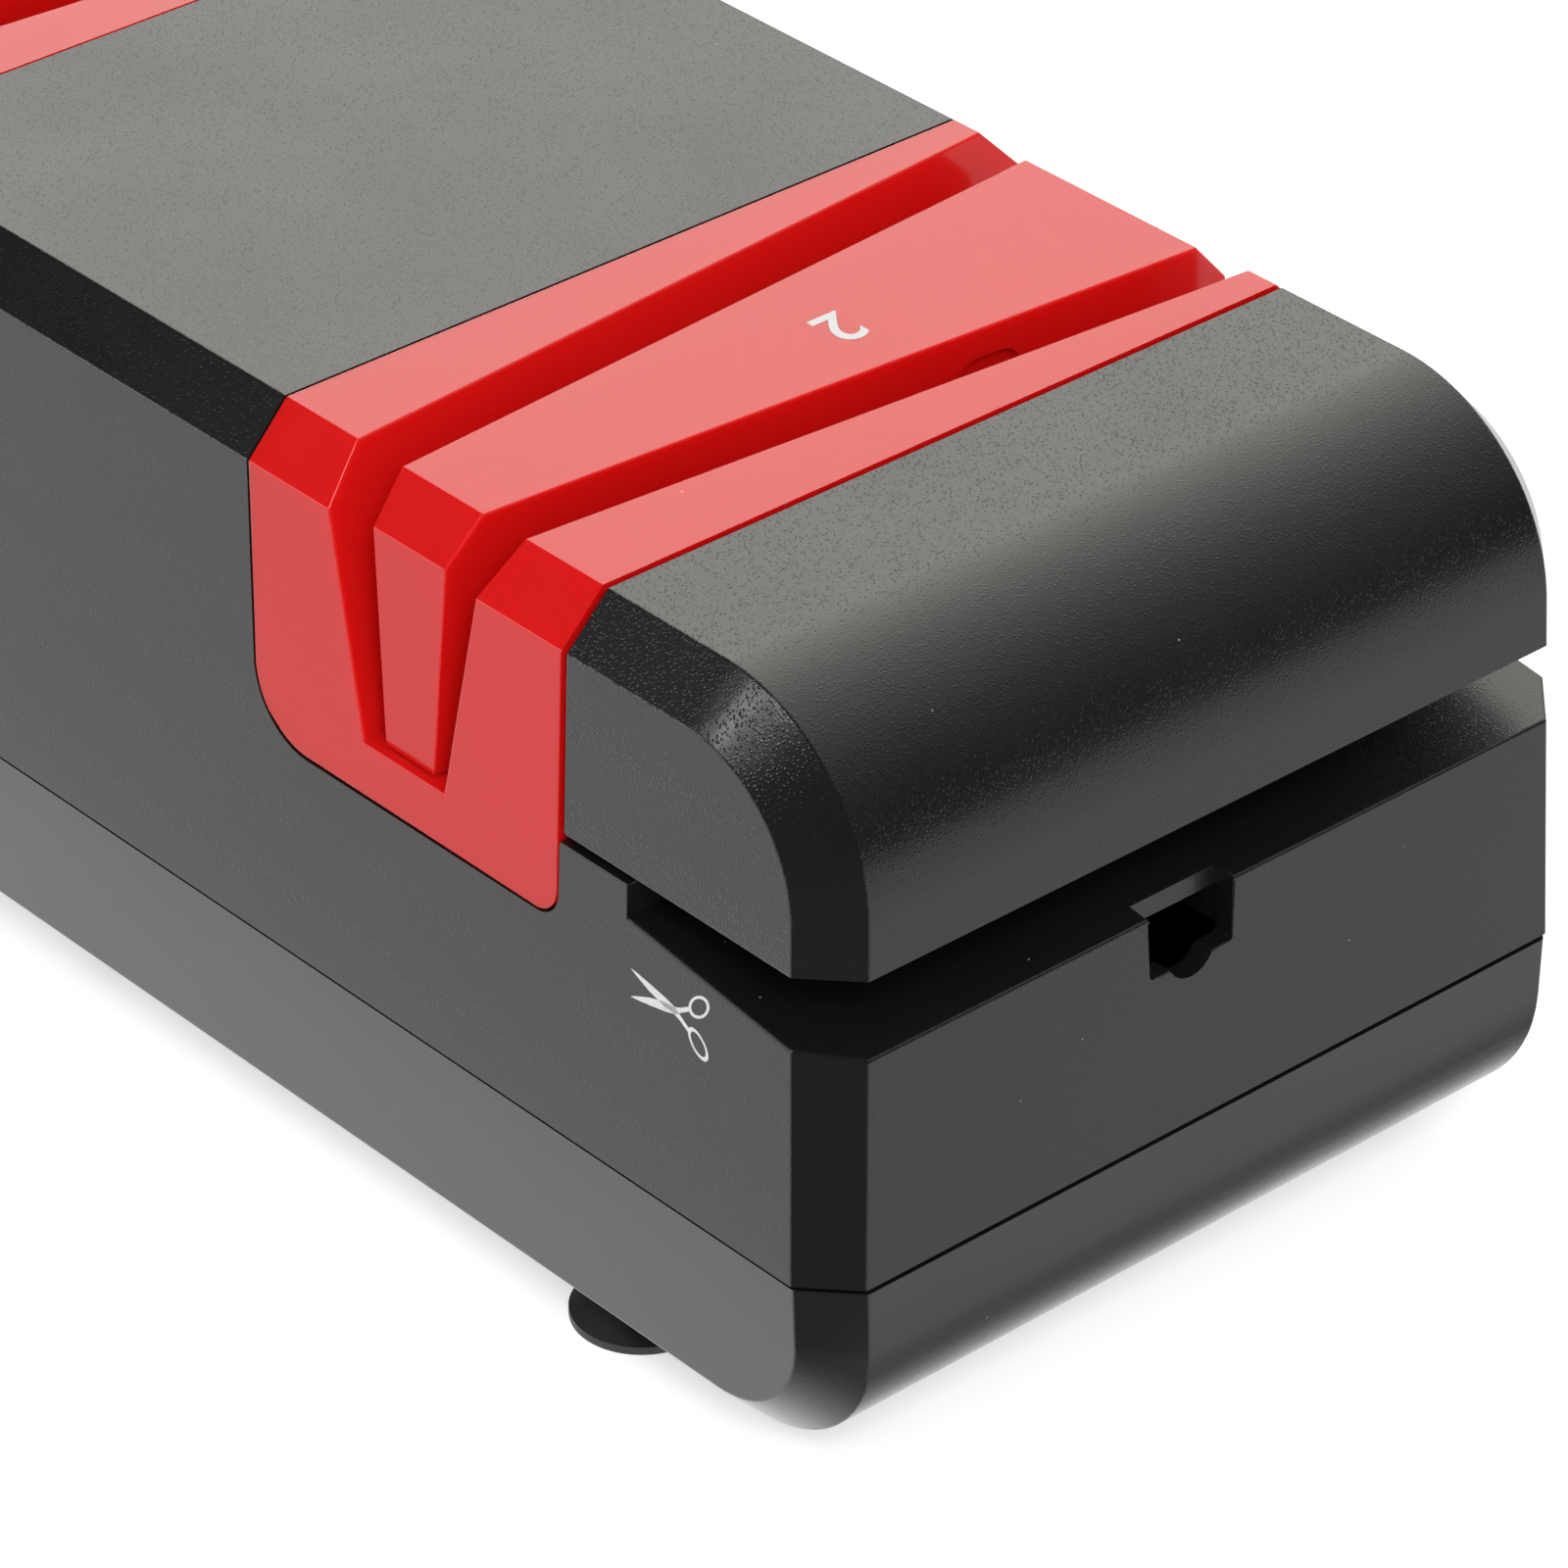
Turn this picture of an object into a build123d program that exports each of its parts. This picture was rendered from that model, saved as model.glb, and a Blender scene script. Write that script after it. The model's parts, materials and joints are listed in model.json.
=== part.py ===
# Electric knife sharpener: two motor-driven stages for knives, a slot for scissors and a notch
# for flat screwdrivers. X runs towards the nose, Y across the body, Z is up from the table.

import os
from math import radians, sqrt, tan

from build123d import *

os.makedirs("parts", exist_ok=True)

# ---- driving dimensions, mm and degrees ----

# body shell
body_length = 224.6
body_width = 92.0
body_top = 77.5
foot_height = 2.55
seam_height = 24.2
chamfer_down = 4.75
chamfer_across = 4.45
soft_edge = 0.5
side_draft = 1.9
end_draft = 2.0
base_draft = 1.7
base_step = 0.25
top_end_radius = 18.5
base_end_radius = 15.3
wall = 2.2
base_wall = 2.4
fit_gap = 0.15
seam_groove = 0.2
seam_groove_depth = 1.0
lip_height = 2.0
lip_thickness = 1.3
lip_clearance = 0.2

# end caps and scissors slot
ledge_height = 53.9
cap_gap = 0.95
cap_side_gap = 0.6
end_cap_gap = 0.3
deck = 1.8
slot_depth = 26.8
slot_floor_inner = 50.6
slot_floor_nose = 47.0
cap_post_radius = 3.5
cap_post_height = 12.0
cap_post_from_side = 19.0
cap_post_inset = 3.6
jaw_lap_length = 4.0
jaw_lap_thickness = 1.2
jaw_soft_edge = 0.35

# screwdriver notch in the end of the nose
notch_width = 10.0
notch_depth = 6.2
notch_y = -3.3
notch_pocket = 3.1
notch_corner = 0.5
notch_dip_radius = 2.8
notch_dip_rise = 1.2
notch_guide_length = 18.0
notch_guide_height = 4.0
notch_guide_thickness = 1.2
notch_guide_offset = 0.2

# sharpening stations
nose_reach = 57.3
saddle_length = 43.8
saddle_bottom = 45.8
saddle_lean_inner = 1.3
saddle_lean_outer = 0.6
saddle_radius_inner = 7.4
saddle_radius_outer = 2.8
saddle_soft_edge = 0.3
slot_bottom = 51.25
trough_half = 14.7
trough_flare = 0.083
trough_lean_inner = 12.5
trough_lean_outer = 11.1
wedge_half = 8.62
wedge_flare = 0.0752
wedge_lean = 4.2
wedge_drop = 0.25
wedge_chamfer_down = 4.35
wedge_chamfer_across = 3.75
wedge_soft_edge = 0.25
wedge_wall = 1.6
wedge_setback = 0.9
wedge_foot_bevel = 0.4
window_width = 7.5
window_y = 15.8
window_low = 60.0
window_high = 74.2
window_radius = 2.6
window_depth = 0.8
saddle_flange = 7.0
saddle_flange_thickness = 2.2
shelf_thickness = 2.2
shelf_half = 19.0
saddle_post_x = 14.0
saddle_post_from_side = 7.5
saddle_post_radius = 2.9
saddle_post_height = 9.0
wedge_post_from_side = 15.0
wedge_post_radius = 2.2
wedge_post_height = 12.0
wedge_rib = 1.6

# drive line
axis_height = 36.0
shaft_radius = 3.0
running_fit = 0.05
wheel_radius = 20.0
wheel_half = 8.5
wheel_face_angle = 20.0
wheel_flat_radius = 12.9
wheel_bore = 7.0
wheel_clearance = 0.9
hub_flange_radius = 10.0
hub_flange = 2.0
hub_sleeve = 6.5
hub_sleeve_radius = 6.0
nut_radius = 9.0
tool_wheel_radius = 18.3
tool_wheel_thickness = 5.0
tool_wheel_reach = 1.1
tool_hub_radius = 5.0
tool_hub_recess = 0.6
bush_length = 9.5
bush_radius = 6.0
bush_flange_radius = 7.5
bush_flange = 1.5
bush_clearance = 1.0
end_play = 1.0

# motor
can_radius = 18.5
can_wall = 1.2
hub_to_motor = 6.5
bell_length = 6.0
bell_plug = 2.0
boss_radius = 6.5
boss_length = 3.0
magnet_thickness = 2.0
armature_radius = 14.0
slot_count = 5
commutator_radius = 5.5
commutator_length = 6.0
commutator_gap = 0.5
pad_thickness = 1.5
pad_width = 8.0
pad_inset = 2.5
strap_thickness = 2.2
strap_flange = 10.0
cradle_thickness = 5.0

# pedestals that carry the bushes
pedestal_length = 8.0
pedestal_half = 20.0
bearing_wall = 3.5
bearing_flange = 2.5
bearing_screw_y = 14.0

# feet
foot_from_end = 35.7
foot_from_side = 9.5
foot_radius = 6.7
foot_lip = 0.8
foot_neck_radius = 2.0
foot_neck_clearance = 0.2
foot_head_radius = 3.2
foot_head_height = 1.6

# screws
screw_radius = 1.5
screw_head_radius = 2.8
screw_head_height = 2.0
screw_bite = 8.0
small_screw_radius = 1.0
small_head_radius = 1.9
small_head_height = 1.3
small_bite = 6.0
well_radius = 4.4
well_bore_radius = 3.1
well_floor = 3.0
well_from_end = 14.3
well_from_side = 12.0
middle_well_from_side = 7.6
boss_height = 16.0
boss_rib_thickness = 2.0
housing_boss_radius = 3.7
roof_rib_x = 12.2
roof_rib_thickness = 1.6
roof_rib_depth = 4.0
joining_overlap = 0.3

# power switch
switch_deck_gap = 1.8
switch_recess = 3.2
switch_recess_gap = 0.4
bezel_width = 15.0
bezel_tall = 21.0
bezel_thickness = 1.8
bezel_margin = 1.2
rocker_width = 9.6
rocker_radius = 8.0
rocker_pivot_depth = 3.0
rocker_dip = 0.9
rocker_rise = 1.1
rocker_gap = 0.35
rocker_travel = 14.0
rocker_pin_radius = 1.2
rocker_pin_gap = 0.1
switch_well_depth = 12.0
switch_body_depth = 16.0
switch_panel_fit = 0.2

# low-voltage inlet
jack_from_side = 24.0
jack_height = 36.0
jack_nose_radius = 4.0
jack_mouth_radius = 2.9
jack_width = 9.0
jack_tall = 11.0
jack_depth = 13.0
jack_mouth_depth = 9.5
jack_pin_radius = 1.05

# circuit board
board_from_end = 18.3
board_length = 22.0
board_width = 32.0
board_thickness = 1.6
board_height = 13.0
board_post_radius = 2.4

# underside vents
vent_count = 5
vent_margin = 1.25
vent_width = 2.5
vent_length = 26.0

# leads
lead_radius = 0.8
lead_bend = 4.5
lead_from_side = 17.0
lead_corner_from_side = 21.0
lead_rise_from_side = 22.0

# ---- sizes worked out from them ----

half_length = body_length / 2
half_width = body_width / 2
floor_top = foot_height + base_wall
saddle_half = saddle_length / 2
station_x = half_length - nose_reach
saddle_post_y = half_width - saddle_post_from_side
wedge_post_y = half_width - wedge_post_from_side
cap_post_y = half_width - cap_post_from_side
foot_x = half_length - foot_from_end
foot_y = half_width - foot_from_side
well_x = half_length - well_from_end
cap_bottom = ledge_height + cap_gap
slot_inner_x = half_length - slot_depth
tool_face_x = slot_inner_x + tool_wheel_reach
slot_slope = (slot_floor_inner - slot_floor_nose) / slot_depth
wheel_rim_half = wheel_half - (wheel_radius - wheel_flat_radius) * tan(radians(wheel_face_angle))
hub_end = wheel_half + hub_flange
bush_x = station_x + hub_end + bush_clearance
bush_end = bush_x + bush_length
bush_seat = bush_x + bush_flange
tool_hub_start = bush_end + end_play
shaft_nose_end = tool_face_x - tool_hub_recess - 0.5
shaft_far_end = -(bush_end + 2.0)
can_half = station_x - hub_end - hub_sleeve - boss_length - hub_to_motor
boss_end = can_half + boss_length
armature_half = can_half - bell_length - bell_plug - commutator_gap - commutator_length
cradle_x = can_half - bell_length - pad_width / 2 - pad_inset
vent_reach = cradle_x - cradle_thickness / 2 - vent_width / 2 - vent_margin
switch_height = ledge_height - deck - switch_deck_gap - bezel_tall / 2
jack_y = half_width - jack_from_side
board_x = board_from_end - half_length
far_beyond = body_length


# ---- building helpers ----


def polygon(points):
    return make_face(Polyline(*points, close=True))


def prism_xz(face, y_low, y_high):
    """Extrude a face drawn in (x, z) between two values of y."""
    return extrude(Plane.XZ.offset(-y_high) * face, amount=y_high - y_low)


def prism_yz(face, x_low, x_high):
    """Extrude a face drawn in (y, z) between two values of x."""
    return extrude(Plane.YZ.offset(x_low) * face, amount=x_high - x_low)


def block(x_low, x_high, y_low, y_high, z_low, z_high):
    size = Box(x_high - x_low, y_high - y_low, z_high - z_low)
    return Pos((x_low + x_high) / 2, (y_low + y_high) / 2, (z_low + z_high) / 2) * size


def rod_x(x_low, x_high, y, z, radius):
    return Pos((x_low + x_high) / 2, y, z) * Rot(0, 90, 0) * Cylinder(radius, x_high - x_low)


def rod_z(x, y, z_low, z_high, radius):
    return Pos(x, y, (z_low + z_high) / 2) * Cylinder(radius, z_high - z_low)


def on_axis(x_low, x_high, radius):
    return rod_x(x_low, x_high, 0, axis_height, radius)


def turned(points):
    """Revolve a profile of (x, radius) points about the drive axis."""
    profile = Plane.XZ * polygon(points)
    return Pos(0, 0, axis_height) * revolve(profile, Axis.X)


def flipped(shape):
    """The same piece at the far end of the body."""
    return mirror(shape, Plane.YZ)


def mirrored_pair(shape):
    return shape + mirror(shape, Plane.XZ)


def write(name, shape):
    solids = shape.solids()
    whole = solids[0] if len(solids) == 1 else Compound(children=list(solids))
    whole.label = name
    export_step(whole, f"parts/{name}.step")


# ---- the outer form ----


def chamfered(form, trim, down, across):
    """Chamfer both long sides of a form all round, except on the seam."""
    for way in (-1, 1):
        side = [face for face in form.faces() if face.normal_at().Y * way > 0.9][0]
        edges = [edge for edge in side.edges() if abs(edge.center().Z - seam_height) > 0.1]
        form = chamfer(edges, down - trim, across - trim, reference=side)
    return form


def creases(form):
    """Edges where the long chamfers meet the side, top and end faces."""
    faces = [(abs(face.normal_at().Y), face.edges()) for face in form.faces()]
    found = []
    for edge in form.edges():
        tilts = [tilt for tilt, edges in faces if any(edge == other for other in edges)]
        slanting = [tilt for tilt in tilts if 0.3 < tilt < 0.9]
        if len(slanting) == 1 and abs(edge.center().Z - seam_height) > 0.1:
            found.append(edge)
    return found


def softened(form):
    return fillet(creases(form), soft_edge)


def upper_envelope(inset=0.0, narrow=0.0, drop=0.0, down=chamfer_down, across=chamfer_across):
    """Outer form above the seam: drafted sides, round ends on top, chamfered all round."""
    top = body_top - inset - drop
    rise = top - seam_height
    low_x = half_length - inset
    high_x = low_x - rise * tan(radians(end_draft))
    outline = polygon([(-low_x, seam_height), (low_x, seam_height), (high_x, top), (-high_x, top)])
    corners = outline.vertices().sort_by(Axis.Y)[2:]
    outline = fillet(corners, top_end_radius - inset)
    low_y = half_width - inset - narrow
    reach = rise + chamfer_down
    high_y = low_y - reach * tan(radians(side_draft))
    section = polygon([(-low_y, seam_height), (low_y, seam_height), (high_y, seam_height + reach),
                       (-high_y, seam_height + reach)])
    form = prism_xz(outline, -body_width, body_width) & prism_yz(section, -far_beyond, far_beyond)
    return chamfered(form, inset * (2 - sqrt(2)), down, across)


def base_envelope(inset=0.0):
    """Outer form below the seam: sides drafted inwards, round ends below, chamfered all round."""
    low = foot_height + inset
    half_x = half_length - inset
    outline = polygon([(-half_x, low), (half_x, low), (half_x, seam_height), (-half_x, seam_height)])
    outline = fillet(outline.vertices().sort_by(Axis.Y)[:2], base_end_radius - inset)
    high_y = half_width - base_step - inset
    reach = seam_height - low + chamfer_down
    low_y = high_y - reach * tan(radians(base_draft))
    section = polygon([(-high_y, seam_height), (high_y, seam_height), (low_y, seam_height - reach),
                       (-low_y, seam_height - reach)])
    form = prism_xz(outline, -body_width, body_width) & prism_yz(section, -far_beyond, far_beyond)
    return chamfered(form, inset * (2 - sqrt(2)), chamfer_down, chamfer_across)


def slot_floor(x):
    return slot_floor_inner - (x - slot_inner_x) * slot_slope


def deck_line(x_end):
    """Top of the nose deck as (x, z): ledge, step down, floor falling to the nose."""
    return [(station_x, ledge_height), (slot_inner_x, ledge_height),
            (slot_inner_x, slot_floor_inner), (x_end, slot_floor(x_end))]


# ---- sharpening stations, drawn for the nose side ----


def saddle_block(grow=0.0):
    """The part of the body that a saddle takes up, seen from the side."""
    inner = station_x - saddle_half - grow
    outer = station_x + saddle_half + grow
    high = body_top + 10
    low = saddle_bottom - grow
    outline = polygon([(inner, high), (outer, high), (outer - saddle_lean_outer, low),
                       (inner + saddle_lean_inner, low)])
    corners = outline.vertices().sort_by(Axis.Y)[:2].sort_by(Axis.X)
    outline = fillet(corners[0], saddle_radius_inner + grow)
    corners = outline.vertices().sort_by(Axis.Y)[:3].sort_by(Axis.X)
    outline = fillet(corners[-1], saddle_radius_outer + grow)
    return prism_xz(outline, -body_width, body_width)


def tapering_prism(half, flare, lean_inner, lean_outer, low, high):
    """A V-sided prism across the body: wider towards +Y and wider towards the top."""
    fall_inner = tan(radians(lean_inner))
    fall_outer = tan(radians(lean_outer))
    sections = []
    for y in (-half_width - 10, half_width + 10):
        inner = station_x - half - flare * y
        outer = station_x + half + flare * y
        outline = polygon([(inner + (body_top - low) * fall_inner, low),
                           (outer - (body_top - low) * fall_outer, low),
                           (outer + (high - body_top) * fall_outer, high),
                           (inner - (high - body_top) * fall_inner, high)])
        sections.append(Plane.XZ.offset(-y) * outline)
    return loft(sections, ruled=True)


def trough(grow=0.0):
    """The V trough for the knife, or its outer skin when grown."""
    return tapering_prism(trough_half + grow, trough_flare, trough_lean_inner, trough_lean_outer,
                          slot_bottom - grow, body_top + 8)


def wedge_prism(low, high, shrink=0.0):
    return tapering_prism(wedge_half - shrink, wedge_flare, wedge_lean, wedge_lean, low, high)


def wedge_envelope(inset=0.0):
    """The body's outer form drawn in a little, which trims the wedge."""
    return upper_envelope(inset, wedge_setback, wedge_drop, wedge_chamfer_down,
                          wedge_chamfer_across)


def wheel_profile(grow=0.0):
    rim = wheel_rim_half + grow
    side = wheel_half + grow
    return [(-side, wheel_bore), (side, wheel_bore), (side, wheel_flat_radius),
            (rim, wheel_radius + grow), (-rim, wheel_radius + grow), (-side, wheel_flat_radius)]


def knife_wheel(grow=0.0):
    return Pos(station_x, 0, 0) * turned(wheel_profile(grow))


def saddle():
    """Red guide saddle: skin flush with the body, with a V trough across it for the knife."""
    piece = (upper_envelope() & saddle_block()) - trough()
    rims = [edge for edge in piece.edges() if edge.center().Z > slot_bottom + 0.1
            and abs(edge.center().X - station_x) < saddle_half - saddle_lean_inner]
    piece = fillet(rims, saddle_soft_edge)
    flange_y = half_width - wall - saddle_flange
    flange = block(0, far_beyond, flange_y, body_width, saddle_bottom,
                   saddle_bottom + saddle_flange_thickness)
    cavity = (upper_envelope(wall) & saddle_block(1)) - trough(wall) - mirrored_pair(flange)
    for x, y in saddle_posts():
        cavity -= rod_z(x, y, saddle_bottom, saddle_bottom + saddle_post_height,
                        saddle_post_radius)
    piece -= cavity
    for x, y in saddle_posts():
        piece -= rod_z(x, y, 0, saddle_bottom + screw_bite, screw_radius)
    for y in (-wedge_post_y, wedge_post_y):
        piece -= rod_z(station_x, y, 0, body_top, small_screw_radius)
    return piece - knife_wheel(wheel_clearance)


def saddle_posts():
    return [(station_x + side * saddle_post_x, y) for side in (-1, 1)
            for y in (-saddle_post_y, saddle_post_y)]


def wedge():
    """Hollow cover over the wheel, arched below so that the wheel's faces reach the slots."""
    foot = slot_bottom
    outer = wedge_prism(foot, body_top + 8) & wedge_envelope()
    outer = chamfer(outer.faces().sort_by(Axis.Z)[0].edges(), wedge_foot_bevel)
    upper = [edge for edge in outer.edges() if edge.center().Z > foot + 2 * wedge_foot_bevel]
    outer = fillet(upper, wedge_soft_edge)
    hollow = wedge_prism(foot - 1, body_top + 8, wedge_wall) & wedge_envelope(wedge_wall)
    for y in (-wedge_post_y, wedge_post_y):
        post_top = foot + wedge_post_height
        hollow -= rod_z(station_x, y, foot, post_top, wedge_post_radius)
        hollow -= block(0, far_beyond, y - wedge_rib / 2, y + wedge_rib / 2, foot, post_top)
    cover = outer - hollow
    arch = on_axis(station_x - saddle_half, station_x + saddle_half, wheel_radius + wheel_clearance)
    window = polygon([(window_y - window_width / 2, window_low),
                      (window_y + window_width / 2, window_low),
                      (window_y + window_width / 2, window_high),
                      (window_y - window_width / 2, window_high)])
    window = fillet(window.vertices(), window_radius)
    window = prism_yz(window, station_x - saddle_half, station_x + saddle_half)
    cover -= arch + (window - wedge_prism(foot, body_top + 8, window_depth))
    for y in (-wedge_post_y, wedge_post_y):
        cover -= rod_z(station_x, y, 0, foot + small_bite + 1, small_screw_radius)
    return cover


# ---- housing ----


def screw_places():
    """Six places where a screw holds the base tray to the housing."""
    end_y = half_width - well_from_side
    middle_y = half_width - middle_well_from_side
    places = ((-well_x, end_y), (0, middle_y), (well_x, end_y))
    return [(x, side * y) for x, y in places for side in (-1, 1)]


def cap_places(end):
    x = end * (station_x + saddle_half + cap_post_inset)
    return [(x, -cap_post_y), (x, cap_post_y)]


def nose_deck():
    top = deck_line(far_beyond)
    low = [(far_beyond, slot_floor(far_beyond) - deck), (slot_inner_x - deck, slot_floor_inner - deck),
           (slot_inner_x - deck, ledge_height - deck), (station_x, ledge_height - deck)]
    return prism_xz(polygon(top + low), -body_width, body_width)


def switch_opening(depth):
    """The hole for the switch body through the bottom of its recess."""
    half_y = bezel_width / 2 - bezel_margin + switch_panel_fit
    half_z = bezel_tall / 2 - bezel_margin + switch_panel_fit
    return switch_frame() * Box(2 * half_y, 2 * half_z, depth)


def switch_recess_box(grow, depth, proud):
    """The recess round the switch, or its walls when grown."""
    wide = bezel_width + 2 * (switch_recess_gap + grow)
    tall = bezel_tall + 2 * (switch_recess_gap + grow)
    solid = Box(wide, tall, depth + proud, align=(Align.CENTER, Align.CENTER, Align.MAX))
    return end_frame() * Pos(0, 0, proud) * solid


def switch_frame():
    """The end wall's frame moved in to the bottom of the switch's recess."""
    return end_frame() * Pos(0, 0, -switch_recess)


def end_frame():
    """Frame on the far end wall: local x across, local y up the wall, local z outwards."""
    rise = switch_height - seam_height
    x = -(half_length - rise * tan(radians(end_draft)))
    lean = radians(end_draft)
    outward = Vector(-1, 0, tan(lean)).normalized()
    return Plane(origin=(x, 0, switch_height), x_dir=(0, -1, 0), z_dir=outward)


def screwdriver_notch():
    """Square notch through the nose wall and deck edge, with a round dip for the shank."""
    top = slot_floor(half_length)
    low = top - notch_depth
    wide = notch_width / 2
    outline = polygon([(notch_y - wide, low), (notch_y + wide, low), (notch_y + wide, ledge_height),
                       (notch_y - wide, ledge_height)])
    outline = fillet(outline.vertices().sort_by(Axis.Z)[:2], notch_corner)
    start = half_length - notch_pocket
    dip = rod_x(start, far_beyond, notch_y, low + notch_dip_rise, notch_dip_radius)
    return prism_yz(outline, start, far_beyond) + dip


def notch_guides():
    """Two ribs below the deck that hold the screwdriver square to the wheel."""
    low_x = half_length - notch_pocket - notch_guide_length
    wide = notch_width / 2 + notch_guide_offset
    guides = None
    for side in (-1, 1):
        y_range = sorted((notch_y + side * wide, notch_y + side * (wide + notch_guide_thickness)))
        rib = block(low_x, half_length, y_range[0], y_range[1],
                    slot_floor(half_length) - deck - notch_guide_height, ledge_height)
        guides = rib if guides is None else guides + rib
    above = prism_xz(polygon(deck_line(far_beyond) + [(far_beyond, body_top), (station_x, body_top)]),
                     -body_width, body_width)
    return (guides & upper_envelope(wall / 2)) - above


def whole_housing():
    body = softened(upper_envelope()) - upper_envelope(wall)
    above_nose = deck_line(far_beyond) + [(far_beyond, body_top + 20), (station_x, body_top + 20)]
    above_nose = prism_xz(polygon(above_nose), -body_width, body_width)
    above_far = block(-far_beyond, -station_x, -body_width, body_width, ledge_height, body_top + 20)
    far_deck = block(-far_beyond, -station_x, -body_width, body_width, ledge_height - deck,
                     ledge_height)
    body -= above_nose + above_far
    body += (nose_deck() + far_deck) & upper_envelope(wall / 2)
    stations = saddle_block(fit_gap) + flipped(saddle_block(fit_gap))
    body -= stations
    body += housing_ribs() + housing_shelves() + housing_bosses() + notch_guides()
    body -= on_axis(tool_hub_start, tool_face_x + wheel_clearance,
                    tool_wheel_radius + wheel_clearance)
    body -= screwdriver_notch()
    body += switch_recess_box(wall, switch_recess + wall, 0) & upper_envelope(wall / 2)
    body -= switch_recess_box(0, switch_recess, 2)
    body -= switch_opening(wall * 4)
    body -= jack_frame() * Cylinder(jack_nose_radius + switch_panel_fit, wall * 4)
    for x, y in cap_places(1) + cap_places(-1):
        body -= rod_z(x, y, ledge_height - deck - 1, ledge_height + 1, screw_radius)
    return body


def nose_half_space():
    """Everything on the nose side of the scissors slot's inner end."""
    return block(slot_inner_x, far_beyond, -body_width, body_width, 0, 2 * body_top)


def main_housing(whole):
    return whole - nose_half_space()


def lower_jaw(whole):
    """Nose of the housing below the scissors slot, lapped into the housing's side walls."""
    jaw = whole & nose_half_space()
    rim = [edge for edge in jaw.edges() if on_jaw_rim(edge)]
    jaw = fillet(rim, jaw_soft_edge)
    lap = block(slot_inner_x - jaw_lap_length, slot_inner_x + jaw_lap_length, -body_width, body_width,
                seam_height + 2 * lip_height, slot_floor_nose - deck)
    return jaw + (lap & (upper_envelope(wall) - upper_envelope(wall + jaw_lap_thickness)))


def on_jaw_rim(edge):
    """Whether an edge runs along the outer border of the slot's floor."""
    middle = edge.center()
    level = abs(middle.Z - slot_floor(middle.X)) < 0.01
    outside = middle.X > half_length - wall or abs(middle.Y) > half_width - wall - chamfer_across
    return level and outside and middle.X > slot_inner_x + 0.01


def housing_ribs():
    """Stiffening ribs under the roof of the middle block."""
    low = roof_rib_x - roof_rib_thickness / 2
    rib = block(low, low + roof_rib_thickness, -body_width, body_width, body_top / 2, body_top)
    rib = (rib & upper_envelope(wall - joining_overlap)) - upper_envelope(wall + roof_rib_depth)
    rib -= block(0, far_beyond, -body_width, body_width, 0, body_top - top_end_radius)
    return rib + flipped(rib)


def housing_shelves():
    """Ledges inside the side walls on which the saddles rest."""
    space = upper_envelope(wall - joining_overlap)
    y_low = half_width - wall - saddle_flange
    shelf = block(station_x - shelf_half, station_x + shelf_half, y_low, half_width,
                  saddle_bottom - shelf_thickness, saddle_bottom)
    shelf = mirrored_pair(shelf & space)
    for x, y in saddle_posts():
        shelf -= rod_z(x, y, 0, body_top, screw_radius)
    return shelf + flipped(shelf)


def housing_bosses():
    """Screw bosses, each tied to the side wall by a rib that starts above the lip."""
    space = upper_envelope(wall - joining_overlap)
    bosses = None
    for x, y in screw_places():
        side = 1 if y > 0 else -1
        top = seam_height + boss_height
        boss = rod_z(x, y, seam_height, top, housing_boss_radius)
        y_range = sorted((y, side * half_width))
        rib_low = seam_height + 1.4 * lip_height
        half_rib = boss_rib_thickness / 2
        boss += block(x - half_rib, x + half_rib, y_range[0], y_range[1], rib_low, top) & space
        boss -= rod_z(x, y, seam_height - 1, seam_height + screw_bite + 3, screw_radius)
        bosses = boss if bosses is None else bosses + boss
    return bosses


def nose_cap():
    """Upper jaw of the scissors slot: a hollow cap closed below by a plate."""
    region = block(station_x, far_beyond, -body_width, body_width, cap_bottom, body_top + 5)
    shell = softened(upper_envelope()) & region
    hollow = upper_envelope(wall) & block(0, far_beyond, -body_width, body_width,
                                          cap_bottom + deck, body_top)
    cap = shell - hollow
    cap += cap_posts(1, cap_bottom)
    cap -= saddle_block(cap_side_gap)
    return cap - cap_post_holes(1)


def end_cap():
    """Plain cap that closes the other end, mirror image of the nose cap without its slot."""
    low = ledge_height + end_cap_gap
    region = block(station_x, far_beyond, -body_width, body_width, low, body_top + 5)
    cap = (softened(upper_envelope()) & region) - upper_envelope(wall)
    plate = block(station_x, station_x + saddle_half + 2 * cap_post_inset, -body_width, body_width,
                  low, low + deck)
    cap += plate & upper_envelope(wall / 2)
    cap += cap_posts(1, low)
    cap -= saddle_block(cap_side_gap)
    return flipped(cap - cap_post_holes(1))


def cap_posts(end, low):
    """Posts that stand on the deck and take the cap's screws."""
    posts = None
    for x, y in cap_places(end):
        post = rod_z(x, y, ledge_height, low + cap_post_height, cap_post_radius)
        posts = post if posts is None else posts + post
    return posts


def cap_post_holes(end):
    holes = None
    for x, y in cap_places(end):
        hole = rod_z(x, y, ledge_height - 1, ledge_height + screw_bite + 1, screw_radius)
        holes = hole if holes is None else holes + hole
    return holes


# ---- base tray ----


def base_tray():
    tray = softened(base_envelope()) - base_envelope(base_wall)
    groove = block(-far_beyond, far_beyond, -body_width, body_width, seam_height - seam_groove,
                   seam_height + 1)
    tray -= groove & (base_envelope() - base_envelope(seam_groove_depth))
    tray += base_lip()
    inside = base_envelope(base_wall / 2)
    for x, y in screw_places():
        tray += rod_z(x, y, foot_height, seam_height, well_radius) & inside
    tray += cradles() + pedestals() + board_posts()
    for x, y in screw_places():
        tray -= rod_z(x, y, 0, seam_height - well_floor, well_bore_radius)
        tray -= rod_z(x, y, 0, body_top, screw_radius)
    for x, y in foot_places():
        tray -= rod_z(x, y, 0, floor_top + 1, foot_neck_radius + foot_neck_clearance)
    return tray - vents()


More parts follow.
